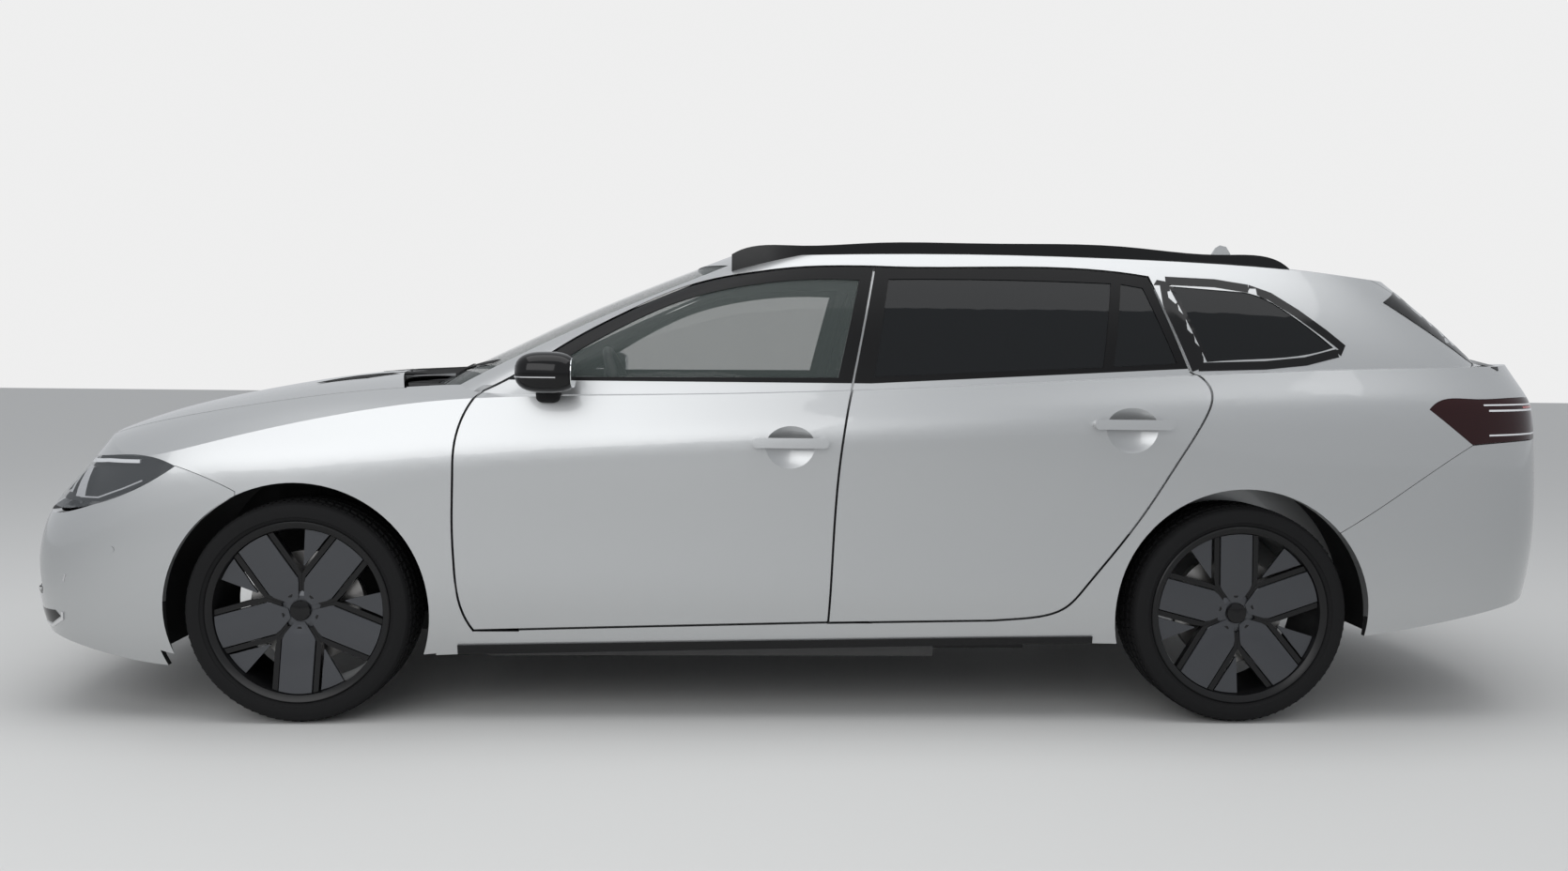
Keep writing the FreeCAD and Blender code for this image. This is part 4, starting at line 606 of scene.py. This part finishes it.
def treadTree():
    # a ring of blocks about the Y axis
    tree = bpy.data.node_groups.new("tread blocks", "GeometryNodeTree")
    kinds = {"Geometry": "NodeSocketGeometry", "Count": "NodeSocketInt", "Centre": "NodeSocketVector"}
    for label in ("Geometry", "Count", "Centre", "Radius", "Height", "Length", "Width", "Skew", "Phase"):
        tree.interface.new_socket(label, in_out="INPUT", socket_type=kinds.get(label, "NodeSocketFloat"))
    tree.interface.new_socket("Geometry", in_out="OUTPUT", socket_type="NodeSocketGeometry")
    graph = Graph(tree)
    start = tree.nodes.new("NodeGroupInput")
    given = {socket.name: Value(graph, socket) for socket in start.outputs if socket.name}
    circle = graph.node("GeometryNodeMeshCircle", {}, {"Vertices": given["Count"], "Radius": given["Radius"]})
    turn = graph.node("GeometryNodeInputIndex") * (2 * math.pi) / given["Count"]
    facing = graph.node("ShaderNodeCombineXYZ", {}, {"X": given["Skew"], "Z": turn})
    extent = graph.node("ShaderNodeCombineXYZ", {}, [given["Height"], given["Length"], given["Width"]])
    block = graph.node("GeometryNodeMeshCube", {}, {"Size": extent})
    ring = graph.node("GeometryNodeInstanceOnPoints", {},
                      {"Points": circle, "Instance": block, "Rotation": facing})
    phase = graph.node("ShaderNodeCombineXYZ", {}, {"Z": given["Phase"]})
    spun = graph.node("GeometryNodeTransform", {}, {"Geometry": ring, "Rotation": phase})
    stood = graph.node("GeometryNodeTransform", {}, {"Geometry": spun, "Translation": given["Centre"],
                                                     "Rotation": (math.pi / 2, 0, 0)})
    solid = graph.node("GeometryNodeRealizeInstances", {}, {"Geometry": stood})
    dressed = graph.node("GeometryNodeSetMaterial", {}, {"Geometry": solid, "Material": finishes["tyre"].material})
    end = tree.nodes.new("NodeGroupOutput")
    tree.links.new(dressed.socket, end.inputs["Geometry"])
    return tree


def grown(tree, values):
    holder = bpy.data.objects.new("grown", bpy.data.meshes.new("grown"))
    bpy.context.scene.collection.objects.link(holder)
    modifier = holder.modifiers.new("nodes", "NODES")
    modifier.node_group = tree
    for item in tree.interface.items_tree:
        if item.in_out == "INPUT" and item.name in values:
            modifier[item.identifier] = values[item.name]
    mesh = bpy.data.meshes.new_from_object(holder.evaluated_get(bpy.context.evaluated_depsgraph_get()))
    holder.modifiers.remove(modifier)
    bpy.data.objects.remove(holder)
    return mesh


tread = treadTree()


def buildTyre(end, side):
    centre, outward = wheelPlace(end, side)
    name = "%s_%s" % (end, side)
    half = car["tyreHalf"]
    profile = tyre["half"] + [(radius, -out) for radius, out in reversed(tyre["half"][:-1])]
    shape = bmesh.new()
    addLathe(shape, profile, tyre["steps"], centre, outward)
    made = newPiece("tyre " + name, shape, "tyre", "wheel_" + name, angle=0.5)
    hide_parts("tyre_" + name)
    shape = bmesh.new()
    for out, width in tyre["ribs"]:
        drop = tyre["topDrop"] + (abs(out) / half) ** 4 * tyre["crownDrop"]
        middle = (centre[0], centre[1] + outward * out, centre[2])
        tilt = tyre["skew"] if out > 0 else -tyre["skew"]
        blocks = grown(tread, {"Count": tyre["blocks"], "Centre": middle, "Width": width, "Skew": outward * tilt,
                               "Radius": car["tyreRadius"] - drop - tyre["blockHeight"] / 2,
                               "Height": tyre["blockHeight"], "Length": tyre["blockLength"],
                               "Phase": tyre["phase"] if out > 0 else 0.0})
        shape.from_mesh(blocks)
        bpy.data.meshes.remove(blocks)
    newPiece("tyre tread " + name, shape, "tyre", "wheel_" + name, angle=0.5)


for end in ("front", "rear"):
    for side in ("left", "right"):
        buildWheel(end, side)
        buildTyre(end, side)
print("wheels and tyres")

# Exterior trim, laid on the left side of the body and mirrored
leftShell = ["side_frame_left", "door_front_left", "door_rear_left", "front_fenders", "front_bumper", "rear_bumper",
             "tailgate", "bonnet", "headlamps", "tail_lamps", "tailgate_lamps", "fixed_glass", "roof_panel"]
sideSurface = surfaceOf(leftShell)
print("side surface ready")


def trimPair(name, finish, bodies, build, angle=0.6):
    # one piece on each side: bodies names the left and the right body
    for label, bodyName in zip(("left", "right"), bodies):
        shape = bmesh.new()
        build(shape)
        if label == "right":
            for vert in shape.verts:
                vert.co.y = -vert.co.y
        newPiece("%s %s" % (name, label), shape, finish, bodyName, angle)


def trimBoth(name, finish, bodyName, build):
    shape = bmesh.new()
    build(shape)
    mirrorInto(shape)
    newPiece(name, shape, finish, bodyName)


def skinPair(name, finish, surface, strokes, viewName="side", bodyName="body"):
    trimBoth(name, finish, bodyName, lambda shape: layStrokes(shape, surface, viewName, strokes))


def addRounded(shape, low, high, power=2.6, rows=16, columns=28):
    centre = [(a + b) / 2 for a, b in zip(low, high)]
    reach = [(b - a) / 2 for a, b in zip(low, high)]

    def bend(value):
        return math.copysign(abs(value) ** (2 / power), value)

    rings = []
    for row in range(1, rows):
        rise = -math.pi / 2 + math.pi * row / rows
        rings.append([shape.verts.new((centre[0] + reach[0] * bend(math.cos(rise)) * bend(math.cos(turn)),
                                       centre[1] + reach[1] * bend(math.cos(rise)) * bend(math.sin(turn)),
                                       centre[2] + reach[2] * bend(math.sin(rise)))) for turn in turns(columns)])
    for here, there in zip(rings, rings[1:]):
        bridge(shape, here, there)
    for ring, end in ((rings[0], -1), (rings[-1], 1)):
        tip = shape.verts.new((centre[0], centre[1], centre[2] + end * reach[2]))
        for column in range(columns):
            after = (column + 1) % columns
            pair = (ring[after], ring[column]) if end < 0 else (ring[column], ring[after])
            shape.faces.new((*pair, tip))


# Door mirrors: gloss housing, bright strip, dark foot and the reflecting face
mirror = {"low": (-0.885, -1.043, 0.997), "high": (-0.700, -0.885, 1.118), "footLow": (-0.838, -0.915, 0.965),
          "footHigh": (-0.765, -0.800, 1.022), "cut": 0.018, "faceInset": 0.0165, "faceWall": 0.002,
          "faceWide": 0.064, "faceTall": 0.044, "faceCorner": 0.7, "stripRise": 0.047, "stripInset": 0.020,
          "stripStart": 0.42, "stripTurn": 1.08, "stripCorner": 0.74, "stripRadius": 0.0022, "stripSteps": 24}


def squareCircle(turn, wide, tall, corner):
    # a point on a circle that is pressed towards a rectangle
    across = math.copysign(abs(math.cos(turn)) ** corner, math.cos(turn))
    rise = math.copysign(abs(math.sin(turn)) ** corner, math.sin(turn))
    return wide * across, tall * rise


def buildMirrors():
    low, high = mirror["low"], mirror["high"]
    middle = [(a + b) / 2 for a, b in zip(low, high)]
    half = [(b - a) / 2 for a, b in zip(low, high)]

    def housing(shape):
        addRounded(shape, low, high, 2.7)
        bmesh.ops.bisect_plane(shape, geom=shape.verts[:] + shape.edges[:] + shape.faces[:],
                               plane_co=(high[0] - mirror["cut"], 0, 0), plane_no=(1, 0, 0), clear_outer=True)
        edges = [edge for edge in shape.edges if edge.is_boundary]
        bmesh.ops.contextual_create(shape, geom=edges)

    def face(shape):
        outline = []
        for turn in turns(40):
            across, rise = squareCircle(turn, mirror["faceWide"], mirror["faceTall"], mirror["faceCorner"])
            outline.append((middle[1] + across, middle[2] + rise))
        addSlab(shape, outline, lambda u, v: high[0] - mirror["faceInset"], mirror["faceWall"],
                lambda u, v, lift: (lift, u, v))

    def strip(shape):
        points = []
        for step in range(mirror["stripSteps"] + 1):
            turn = math.pi * (mirror["stripStart"] + mirror["stripTurn"] * step / mirror["stripSteps"])
            along, across = squareCircle(turn, half[0], half[1], mirror["stripCorner"])
            x = min(middle[0] + along, high[0] - mirror["stripInset"])
            points.append((x, middle[1] - across, low[2] + mirror["stripRise"]))
        addTube(shape, points, mirror["stripRadius"], 8)

    def foot(shape):
        addRounded(shape, mirror["footLow"], mirror["footHigh"], 3.6, 10, 20)

    pair = ("door_front_left", "door_front_right")
    trimPair("mirror housing", "gloss_black", pair, housing, 0.7)
    trimPair("mirror face", "mirror_face", pair, face)
    trimPair("mirror strip", "chrome", pair, strip)
    trimPair("mirror foot", "black_plastic", pair, foot, 0.7)
    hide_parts("mirror_left")
    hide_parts("mirror_right")


buildMirrors()
print("mirrors")

# Tail lamp: bright and red light guides on the dark lens, and the dark wedge beside the rear glass
tailLamp = {
    "white": [([(1.262, 0.6655), (1.31, 0.6665), (1.40, 0.667)], 0.0045, 0.0015, 0.003, 0.012),
              ([(1.268, 0.6540), (1.32, 0.6550), (1.40, 0.6555)], 0.0055, 0.0015, 0.003, 0.012),
              ([(1.268, 0.6030), (1.32, 0.6050), (1.40, 0.6060)], 0.0050, 0.0015, 0.003, 0.012)],
    "red": [([(1.318, 0.6605), (1.35, 0.6608), (1.40, 0.661)], 0.0055, 0.0012, 0.003, 0.012)],
    "rear": [([(-0.62, rise), (-0.42, rise)], 0.006, 0.0015, 0.003, 0.012) for rise in (0.900, 0.952, 0.980)],
    "wedge": [([(1.1795, 0.881), (1.206, 0.906), (1.216, 0.905), (1.2245, 0.872), (1.268, 0.808), (1.302, 0.745),
                (1.300, 0.7365), (1.272, 0.760)], 0, 0.003, 0.004, 0.03)],
}
lampSurface = surfaceOf(["tail_lamps", "tailgate_lamps"])
skinPair("tail lamp guides", "lamp_white", lampSurface, tailLamp["white"])
skinPair("tail lamp red guides", "lamp_bright_red", lampSurface, tailLamp["red"])
skinPair("tailgate lamp guides", "lamp_bright_red", lampSurface, tailLamp["rear"], "rear", "tailgate")
skinPair("rear side wedges", "gloss_black", sideSurface, tailLamp["wedge"])
print("tail lamps and wedges")

# Black surround of the rear quarter glass, and the pillar before it
quarter = {
    "sides": [[(0.955, 0.738), (1.03, 0.743), (1.075, 0.752), (1.112, 0.770)],
              [(1.112, 0.770), (1.118, 0.782), (1.100, 0.812), (1.072, 0.854), (1.045, 0.889), (1.022, 0.905)],
              [(1.022, 0.905), (0.985, 0.916), (0.930, 0.920)]],
    "width": 0.026, "proud": 0.0012, "depth": 0.003, "step": 0.02,
    "pillar": [(0.9480, 0.728), (0.9125, 0.924), (0.936, 0.916), (0.969, 0.742)],
}
quarterStrokes = [(path, quarter["width"], quarter["proud"], quarter["depth"], quarter["step"])
                  for path in quarter["sides"]]
quarterStrokes.append((quarter["pillar"], 0, quarter["proud"], quarter["depth"], quarter["step"]))
skinPair("quarter glass surrounds", "gloss_black", surfaceOf(["side_frame_left", "fixed_glass"]),
         quarterStrokes)

# Wipers: two along the foot of the windscreen and one on the rear glass
wipers = {
    "front": [([(-0.64, 1.085), (-0.36, 1.062), (-0.06, 1.045)], 0.012, 0.010, -0.002, 0.02),
              ([(-0.04, 1.062), (0.26, 1.050), (0.56, 1.062)], 0.012, 0.010, -0.002, 0.02),
              ([(-0.52, 1.018), (-0.40, 1.040), (-0.34, 1.064)], 0.020, 0.020, -0.010, 0.02),
              ([(0.10, 1.018), (0.20, 1.036), (0.26, 1.052)], 0.020, 0.020, -0.010, 0.02)],
    "rear": [([(-0.20, 1.150), (0.02, 1.146), (0.24, 1.150)], 0.012, 0.010, -0.002, 0.02),
             ([(0.0, 1.118), (0.01, 1.132), (0.02, 1.148)], 0.020, 0.018, -0.008, 0.02)],
}


def buildWiper(name, viewName, names, bodyName):
    shape = bmesh.new()
    layStrokes(shape, surfaceOf(names), viewName, wipers[viewName])
    newPiece(name, shape, "black_plastic", bodyName)


buildWiper("windscreen wipers", "front", ["fixed_glass", "cowl", "bonnet", "side_frame_left", "side_frame_right"],
           "body")
buildWiper("rear wiper", "rear", ["tailgate_glass", "tailgate"], "tailgate")
print("surrounds and wipers")

# Door cards, seen through the windows and with the doors open
cards = {
    "front": {"panel": [(0.222, 0.30), (0.540, 0.30), (0.553, 0.50), (0.566, 0.672), (0.255, 0.668), (0.212, 0.50)],
              "rest": [(0.30, 0.505), (0.42, 0.510), (0.525, 0.525)],
              "strip": [(0.25, 0.590), (0.40, 0.600), (0.55, 0.612)],
              "handle": [(0.275, 0.565), (0.305, 0.568)], "speaker": (0.275, 0.375)},
    "rear": {"panel": [(0.610, 0.30), (0.775, 0.30), (0.860, 0.50), (0.915, 0.690), (0.625, 0.680), (0.605, 0.50)],
             "rest": [(0.66, 0.520), (0.74, 0.523), (0.82, 0.530)],
             "strip": [(0.63, 0.600), (0.75, 0.610), (0.87, 0.622)],
             "handle": [(0.645, 0.572), (0.672, 0.574)], "speaker": (0.665, 0.375)},
    "speakerRadius": 0.075, "speakerProud": 0.010, "speakerDepth": -0.005,
}


def buildDoorCards(end):
    door = surfaceOf(["door_%s_left" % end])
    card = cards[end]
    pair = ("door_%s_left" % end, "door_%s_right" % end)
    panels = [(card["panel"], 0, 0.006, 0.004, 0.04), (card["rest"], 0.055, 0.040, -0.004, 0.025)]
    strips = [(card["strip"], 0.014, 0.0085, -0.005, 0.02), (card["handle"], 0.022, 0.016, -0.005, 0.01)]

    def speaker(shape):
        middle = sidePoints([card["speaker"]])[0]
        addDisc(shape, door, "outward", middle, cards["speakerRadius"], cards["speakerProud"],
                cards["speakerDepth"])

    trimPair("door card " + end, "cabin_plastic", pair, lambda shape: layStrokes(shape, door, "outward", panels))
    trimPair("door card strip " + end, "chrome", pair, lambda shape: layStrokes(shape, door, "outward", strips))
    trimPair("speaker grille " + end, "black_plastic", pair, speaker)


for end in ("front", "rear"):
    buildDoorCards(end)

# Dashboard: vents, a screen, a hood over the dials, and the console between the seats
cabin = {
    "hood": ((-0.845, -0.555, 0.955), (-0.700, -0.205, 1.035)),
    "screen": ((-0.712, -0.125, 0.950), (-0.700, 0.175, 1.075)),
    "console": ((-0.72, -0.115, 0.240), (0.165, 0.115, 0.560)),
    "lever": ((-0.43, -0.022, 0.555), (-0.385, 0.022, 0.630)),
    "vents": [(-0.66, 0.905, 0.14), (-0.10, 0.905, 0.16), (0.10, 0.905, 0.16), (0.66, 0.905, 0.14)],
    "ventHeight": 0.045, "strip": [([(-0.68, 0.868), (0.68, 0.868)], 0.008, 0.005, 0.002, 0.03)],
}


def buildCabinTrim():
    shape = bmesh.new()
    addRounded(shape, *cabin["hood"], 5.0, 12, 24)
    addRounded(shape, *cabin["console"], 9.0, 14, 28)
    newPiece("dashboard hood and console", shape, "cabin_plastic", "body", angle=0.7)
    shape = bmesh.new()
    addRounded(shape, *cabin["screen"], 12.0, 10, 24)
    addRounded(shape, *cabin["lever"], 3.0, 8, 16)
    newPiece("screen and lever", shape, "gloss_black", "body", 0.7)
    dash = surfaceOf(["dashboard"])
    shape = bmesh.new()
    tall = cabin["ventHeight"] / 2
    for middle, rise, wide in cabin["vents"]:
        left, right = middle - wide / 2, middle + wide / 2
        outline = [(left, rise - tall), (right, rise - tall), (right, rise + tall), (left, rise + tall)]
        layStrokes(shape, dash, "dash", [(outline, 0, 0.004, 0.002, 0.02)])
    newPiece("dashboard vents", shape, "gloss_black", "body")
    shape = bmesh.new()
    layStrokes(shape, dash, "dash", cabin["strip"])
    newPiece("dashboard strip", shape, "chrome", "body")


buildCabinTrim()
print("cabin trim")

# Headlamp insides: dark back, light guide along the top, projector box and bright slash
headlamp = {
    "back": [([(-0.335, 0.500), (-0.305, 0.437), (-0.210, 0.443), (-0.176, 0.465), (-0.126, 0.519), (-0.152, 0.535),
               (-0.203, 0.533), (-0.262, 0.521)], 0, -0.040, 0.050, 0.02)],
    "guide": [([(-0.325, 0.5025), (-0.262, 0.5155), (-0.203, 0.526), (-0.162, 0.5275)], 0.010, -0.004, 0.014, 0.015)],
    "bright": [([(-0.232, 0.4525), (-0.208, 0.4535), (-0.178, 0.474), (-0.158, 0.490)], 0.0045, -0.010, 0.016, 0.015),
               ([(-0.240, 0.452), (-0.226, 0.452), (-0.228, 0.508), (-0.242, 0.508)], 0, -0.012, 0.030, 0.02)],
    "barFirst": -0.305, "barSpread": 0.058, "bars": 4, "barLow": 0.456, "barHigh": 0.503, "barLean": 0.002,
}
projectorBars = []
for bar in range(headlamp["bars"]):
    barX = headlamp["barFirst"] + headlamp["barSpread"] * (bar + 0.5) / headlamp["bars"]
    barPath = [(barX, headlamp["barLow"]), (barX - headlamp["barLean"], headlamp["barHigh"])]
    projectorBars.append((barPath, 0.016, -0.022, 0.036, 0.02))
lens = surfaceOf(["headlamps"])
skinPair("headlamp back", "black_plastic", lens, headlamp["back"])
skinPair("headlamp light guide", "lamp_white", lens, headlamp["guide"])
skinPair("headlamp bright trim", "chrome", lens, headlamp["bright"])
skinPair("headlamp projectors", "mirror_face", lens, projectorBars)
print("headlamps")

# Front bumper corners: dark openings crossed by bright bars, and the lip below
corner = {
    "dark": [([(-0.332, 0.398), (-0.312, 0.392), (-0.296, 0.340), (-0.281, 0.262), (-0.2835, 0.248), (-0.310, 0.252),
               (-0.330, 0.262)], 0, 0.0012, 0.010, 0.015),
             ([(-0.330, 0.225), (-0.306, 0.214), (-0.262, 0.220), (-0.255, 0.208), (-0.270, 0.190), (-0.300, 0.186),
               (-0.328, 0.196)], 0, 0.0012, 0.010, 0.015)],
    "bright": [([(-0.334, 0.342), (-0.309, 0.344)], 0.011, 0.005, 0.012, 0.012),
               ([(-0.334, 0.300), (-0.299, 0.303)], 0.011, 0.005, 0.012, 0.012),
               ([(-0.334, 0.198), (-0.302, 0.181), (-0.270, 0.184), (-0.2525, 0.2035), (-0.2515, 0.218)], 0.009,
                0.0035, 0.010, 0.012),
               ([(-0.247, 0.283), (-0.2445, 0.297)], 0.004, 0.0012, 0.004, 0.01)],
    "sensor": (-0.190, 0.352), "sensorRadius": 0.010, "sensorProud": 0.0012, "sensorDepth": 0.006,
}
nose = surfaceOf(["front_bumper", "grille"])


def addSensor(shape):
    middle = sidePoints([corner["sensor"]])[0]
    addDisc(shape, nose, "side", middle, corner["sensorRadius"], corner["sensorProud"], corner["sensorDepth"])


skinPair("bumper corner openings", "gloss_black", nose, corner["dark"])
skinPair("bumper corner bright trim", "chrome", nose, corner["bright"])
trimBoth("front parking sensors", "body_paint", "body", addSensor)

# Front and rear plates, left blank
plate = {"width": 0.52, "height": 0.11, "thickness": 0.004, "corner": 0.008, "cornerSteps": 3,
         "front": (-1, 0.44, ["front_bumper", "grille", "bonnet"], "body"),
         "rear": (1, 0.80, ["tailgate", "rear_bumper"], "tailgate")}


def buildPlates():
    half, tall = plate["width"] / 2, plate["height"] / 2
    for label in ("front", "rear"):
        sign, rise, names, bodyName = plate[label]
        surface = surfaceOf(names)
        direction, origin = views[label]
        spots = [surface.ray_cast(origin(u * half, rise + v * tall), direction)[0]
                 for u in (-1, 0, 1) for v in (-1, 1)]
        front = sign * max(sign * spot.x for spot in spots if spot)
        back = front + sign * plate["thickness"]
        shape = bmesh.new()
        addBlock(shape, (min(front, back), -half, rise - tall), (max(front, back), half, rise + tall))
        corners = [edge for edge in shape.edges if abs(edge.verts[0].co.x - edge.verts[1].co.x) > 1e-4]
        bmesh.ops.bevel(shape, geom=corners, offset=plate["corner"], segments=plate["cornerSteps"], affect="EDGES")
        newPiece(label + " plate", shape, "plate", bodyName)


buildPlates()

# Steering wheel: leather ring, padded boss and three spokes, square to the column
steering = {"centre": (-0.60323, -0.370, 0.95216), "axis": (0.9242, 0.0, 0.3818), "radius": 0.182, "grip": 0.0165,
            "spoke": 0.014, "spokes": [[(0.172, 0.004, 0), (0.05, 0.0, -0.022)],
                                       [(-0.172, 0.004, 0), (-0.05, 0.0, -0.022)],
                                       [(0.0, -0.172, 0), (0.0, -0.05, -0.022)]],
            "padWide": 0.068, "padTall": 0.052, "padCorner": 0.7, "padRise": -0.004, "padLow": (0.045, 0.12),
            "padTop": (0.010, 0.16)}


def buildSteeringWheel():
    axis = Vector(steering["axis"]).normalized()
    across = Vector((0, 1, 0))
    upward = axis.cross(across)
    if upward.z < 0:
        upward = -upward
    centre = Vector(steering["centre"])

    def at(u, v, out):
        return centre + across * u + upward * v + axis * out

    shape = bmesh.new()
    radius = steering["radius"]
    ring = [at(radius * math.cos(turn), radius * math.sin(turn), 0) for turn in turns(64)]
    addTube(shape, ring, steering["grip"], 14, closed=True)
    for path in steering["spokes"]:
        ends = [at(*point) for point in path]
        addTube(shape, [ends[0], ends[0].lerp(ends[1], 0.3), ends[1]], steering["spoke"], 10)
    made = newPiece("steering wheel ring", shape, "cabin_leather", "steering_wheel", angle=0.9)
    shape = bmesh.new()
    pad = [at(*squareCircle(turn, steering["padWide"], steering["padTall"], steering["padCorner"]),
              steering["padRise"]) for turn in turns(40)]
    drop, narrow = steering["padLow"]
    low = [point - axis * drop + (centre - point) * narrow for point in pad]
    rise, narrow = steering["padTop"]
    top = [point + axis * rise + (centre - point) * narrow for point in pad]
    rings = [[shape.verts.new(point) for point in ring] for ring in (low, pad, top)]
    for here, there in zip(rings, rings[1:]):
        bridge(shape, here, there)
    shape.faces.new(rings[-1])
    shape.faces.new(list(reversed(rings[0])))
    newPiece("steering wheel pad", shape, "cabin_plastic", "steering_wheel", 0.9)
    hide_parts("steering_wheel")


buildSteeringWheel()

# Seats: padded cushions, backs and headrests, filled by a short cloth run
padding = {"voxel": 0.013, "pressure": 4.0, "frames": 20, "quality": 4, "pad": 0.8, "lean": 0.30}


def fillOut(made, cap):
    mesh = made.data
    remesh = made.modifiers.new("remesh", "REMESH")
    remesh.mode = "VOXEL"
    remesh.voxel_size = padding["voxel"]
    graph = bpy.context.evaluated_depsgraph_get()
    even = bpy.data.meshes.new_from_object(made.evaluated_get(graph))
    made.modifiers.remove(remesh)
    made.data = even
    bpy.data.meshes.remove(mesh)
    rest = [vert.co.copy() for vert in even.vertices]
    cloth = made.modifiers.new("cloth", "CLOTH")
    cloth.settings.use_pressure = True
    cloth.settings.uniform_pressure_force = padding["pressure"]
    cloth.settings.effector_weights.gravity = 0.0
    cloth.settings.quality = padding["quality"]
    scene = bpy.context.scene
    for number in range(1, padding["frames"] + 1):
        scene.frame_set(number)
    graph = bpy.context.evaluated_depsgraph_get()
    full = bpy.data.meshes.new_from_object(made.evaluated_get(graph))
    made.modifiers.remove(cloth)
    scene.frame_set(1)
    for index, vert in enumerate(even.vertices):
        move = full.vertices[index].co - rest[index]
        vert.co = rest[index] + (move.normalized() * min(move.length, cap) if move.length > 1e-6 else move)
    bpy.data.meshes.remove(full)
    even.shade_smooth()


# each pad is (name, low corner, high corner, squareness, largest swell, hinge that it leans back about)
frontPads = [
    ("front seat cushion left", (-0.509, -0.6265, 0.335), (-0.004, -0.1505, 0.515), 4.5, 0.012, None),
    ("front seat back left", (-0.059, -0.6165, 0.44), (0.066, -0.1605, 1.06), 4.5, 0.012, (-0.049, 0, 0.45)),
    ("front headrest left", (0.166, -0.5185, 1.070), (0.256, -0.2585, 1.215), 3.6, 0.010, None),
]
rearPads = [
    ("rear seat cushion", (0.378, -0.588, 0.425), (0.878, 0.588, 0.552), 6.0, 0.012, None),
    ("rear seat back", (0.823, -0.588, 0.50), (0.938, 0.588, 1.03), 6.0, 0.012, (0.828, 0, 0.5)),
    ("rear headrest left", (0.998, -0.52, 1.0), (1.078, -0.28, 1.13), 3.6, 0.008, None),
    ("rear headrest middle", (0.998, -0.12, 1.0), (1.078, 0.12, 1.13), 3.6, 0.008, None),
    ("rear headrest right", (0.998, 0.28, 1.0), (1.078, 0.52, 1.13), 3.6, 0.008, None),
]


def addPad(name, low, high, power, swell, hinge):
    shape = bmesh.new()
    addRounded(shape, low, high, power, 20, 32)
    if hinge:
        turn = Matrix.Rotation(padding["lean"], 4, "Y")
        for vert in shape.verts:
            vert.co = Vector(hinge) + turn @ (vert.co - Vector(hinge))
    made = newPiece(name, shape, "seat_fabric", "body")
    fillOut(made, swell)
    return made


def addTwin(made, name):
    mesh = made.data.copy()
    for vert in mesh.vertices:
        vert.co.y = -vert.co.y
    mesh.flip_normals()
    addMesh(name, mesh, "seat_fabric", "body")


def buildSeats():
    front = [addPad(*pad) for pad in frontPads]
    for piece in front:
        addTwin(piece, piece.name.replace("left", "right"))
    for pad in rearPads:
        addPad(*pad)
    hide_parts("seats")


buildSeats()
print("seats")

# Camera at the photograph's angle, and a plain studio
view = {"place": (-0.23774, -4.97117, 1.12568), "yaw": 0.0411819, "pitch": 0.0613965, "roll": 0.0111614,
        "lens": 31.366, "shift": -0.00607}


def addCamera():
    yaw, pitch, roll = view["yaw"], view["pitch"], view["roll"]
    forward = Vector((math.sin(yaw) * math.cos(pitch), math.cos(yaw) * math.cos(pitch), -math.sin(pitch)))
    right = Vector((math.cos(yaw), -math.sin(yaw), 0))
    upward = right.cross(forward)
    across = right * math.cos(roll) + upward * math.sin(roll)
    above = upward * math.cos(roll) - right * math.sin(roll)
    turn = Matrix((across, above, -forward)).transposed()
    data = bpy.data.cameras.new("camera")
    data.lens = view["lens"]
    data.sensor_width = 36.0
    data.shift_x = view["shift"]
    camera = bpy.data.objects.new("camera", data)
    camera.matrix_world = Matrix.Translation(view["place"]) @ turn.to_4x4()
    bpy.context.scene.collection.objects.link(camera)
    bpy.context.scene.camera = camera


def addLamp(name, place, target, size, power):
    data = bpy.data.lights.new(name, "AREA")
    data.shape = "RECTANGLE"
    data.size, data.size_y = size
    data.energy = power
    lamp = bpy.data.objects.new(name, data)
    lamp.location = place
    lamp.rotation_euler = (Vector(target) - Vector(place)).to_track_quat("-Z", "Y").to_euler()
    bpy.context.scene.collection.objects.link(lamp)


studio = {"sky": (0.80, 0.82, 0.85, 1), "skyStrength": 0.72, "backdrop": (0.86, 0.86, 0.86, 1),
          "floor": (0.62, 0.62, 0.61), "reach": 30,
          "lamps": [("top light", (0, -1.0, 5.5), (0, 0, 0), (8, 5), 170),
                    ("side light", (-2.5, -6.0, 3.2), (0, 0, 0.6), (6, 3), 110)]}


def addStudio():
    scene = bpy.context.scene
    scene.view_settings.view_transform = "Standard"
    world = bpy.data.worlds.new("studio")
    world.use_nodes = True
    scene.world = world
    graph = Graph(world.node_tree)
    back = graph.tree.nodes["Background"]
    back.inputs["Color"].default_value = studio["sky"]
    back.inputs["Strength"].default_value = studio["skyStrength"]
    # the camera sees the backdrop, everything else the sky
    seen = graph.node("ShaderNodeBackground", {}, [studio["backdrop"], 1.0])
    blend = graph.node("ShaderNodeMixShader", {},
                       [graph.node("ShaderNodeLightPath"), Value(graph, back.outputs[0]), seen])
    graph.tree.links.new(blend.socket, graph.tree.nodes["World Output"].inputs["Surface"])
    for lamp in studio["lamps"]:
        addLamp(*lamp)
    floorMesh = bpy.data.meshes.new("floor")
    reach = studio["reach"]
    corners = [(-reach, -reach, 0), (reach, -reach, 0), (reach, reach, 0), (-reach, reach, 0)]
    floorMesh.from_pydata(corners, [], [(0, 1, 2, 3)])
    floor = bpy.data.objects.new("floor", floorMesh)
    scene.collection.objects.link(floor)
    floorMesh.materials.append(Finish("floor", studio["floor"], 0.75).material)


addCamera()
addStudio()
print("camera and studio")
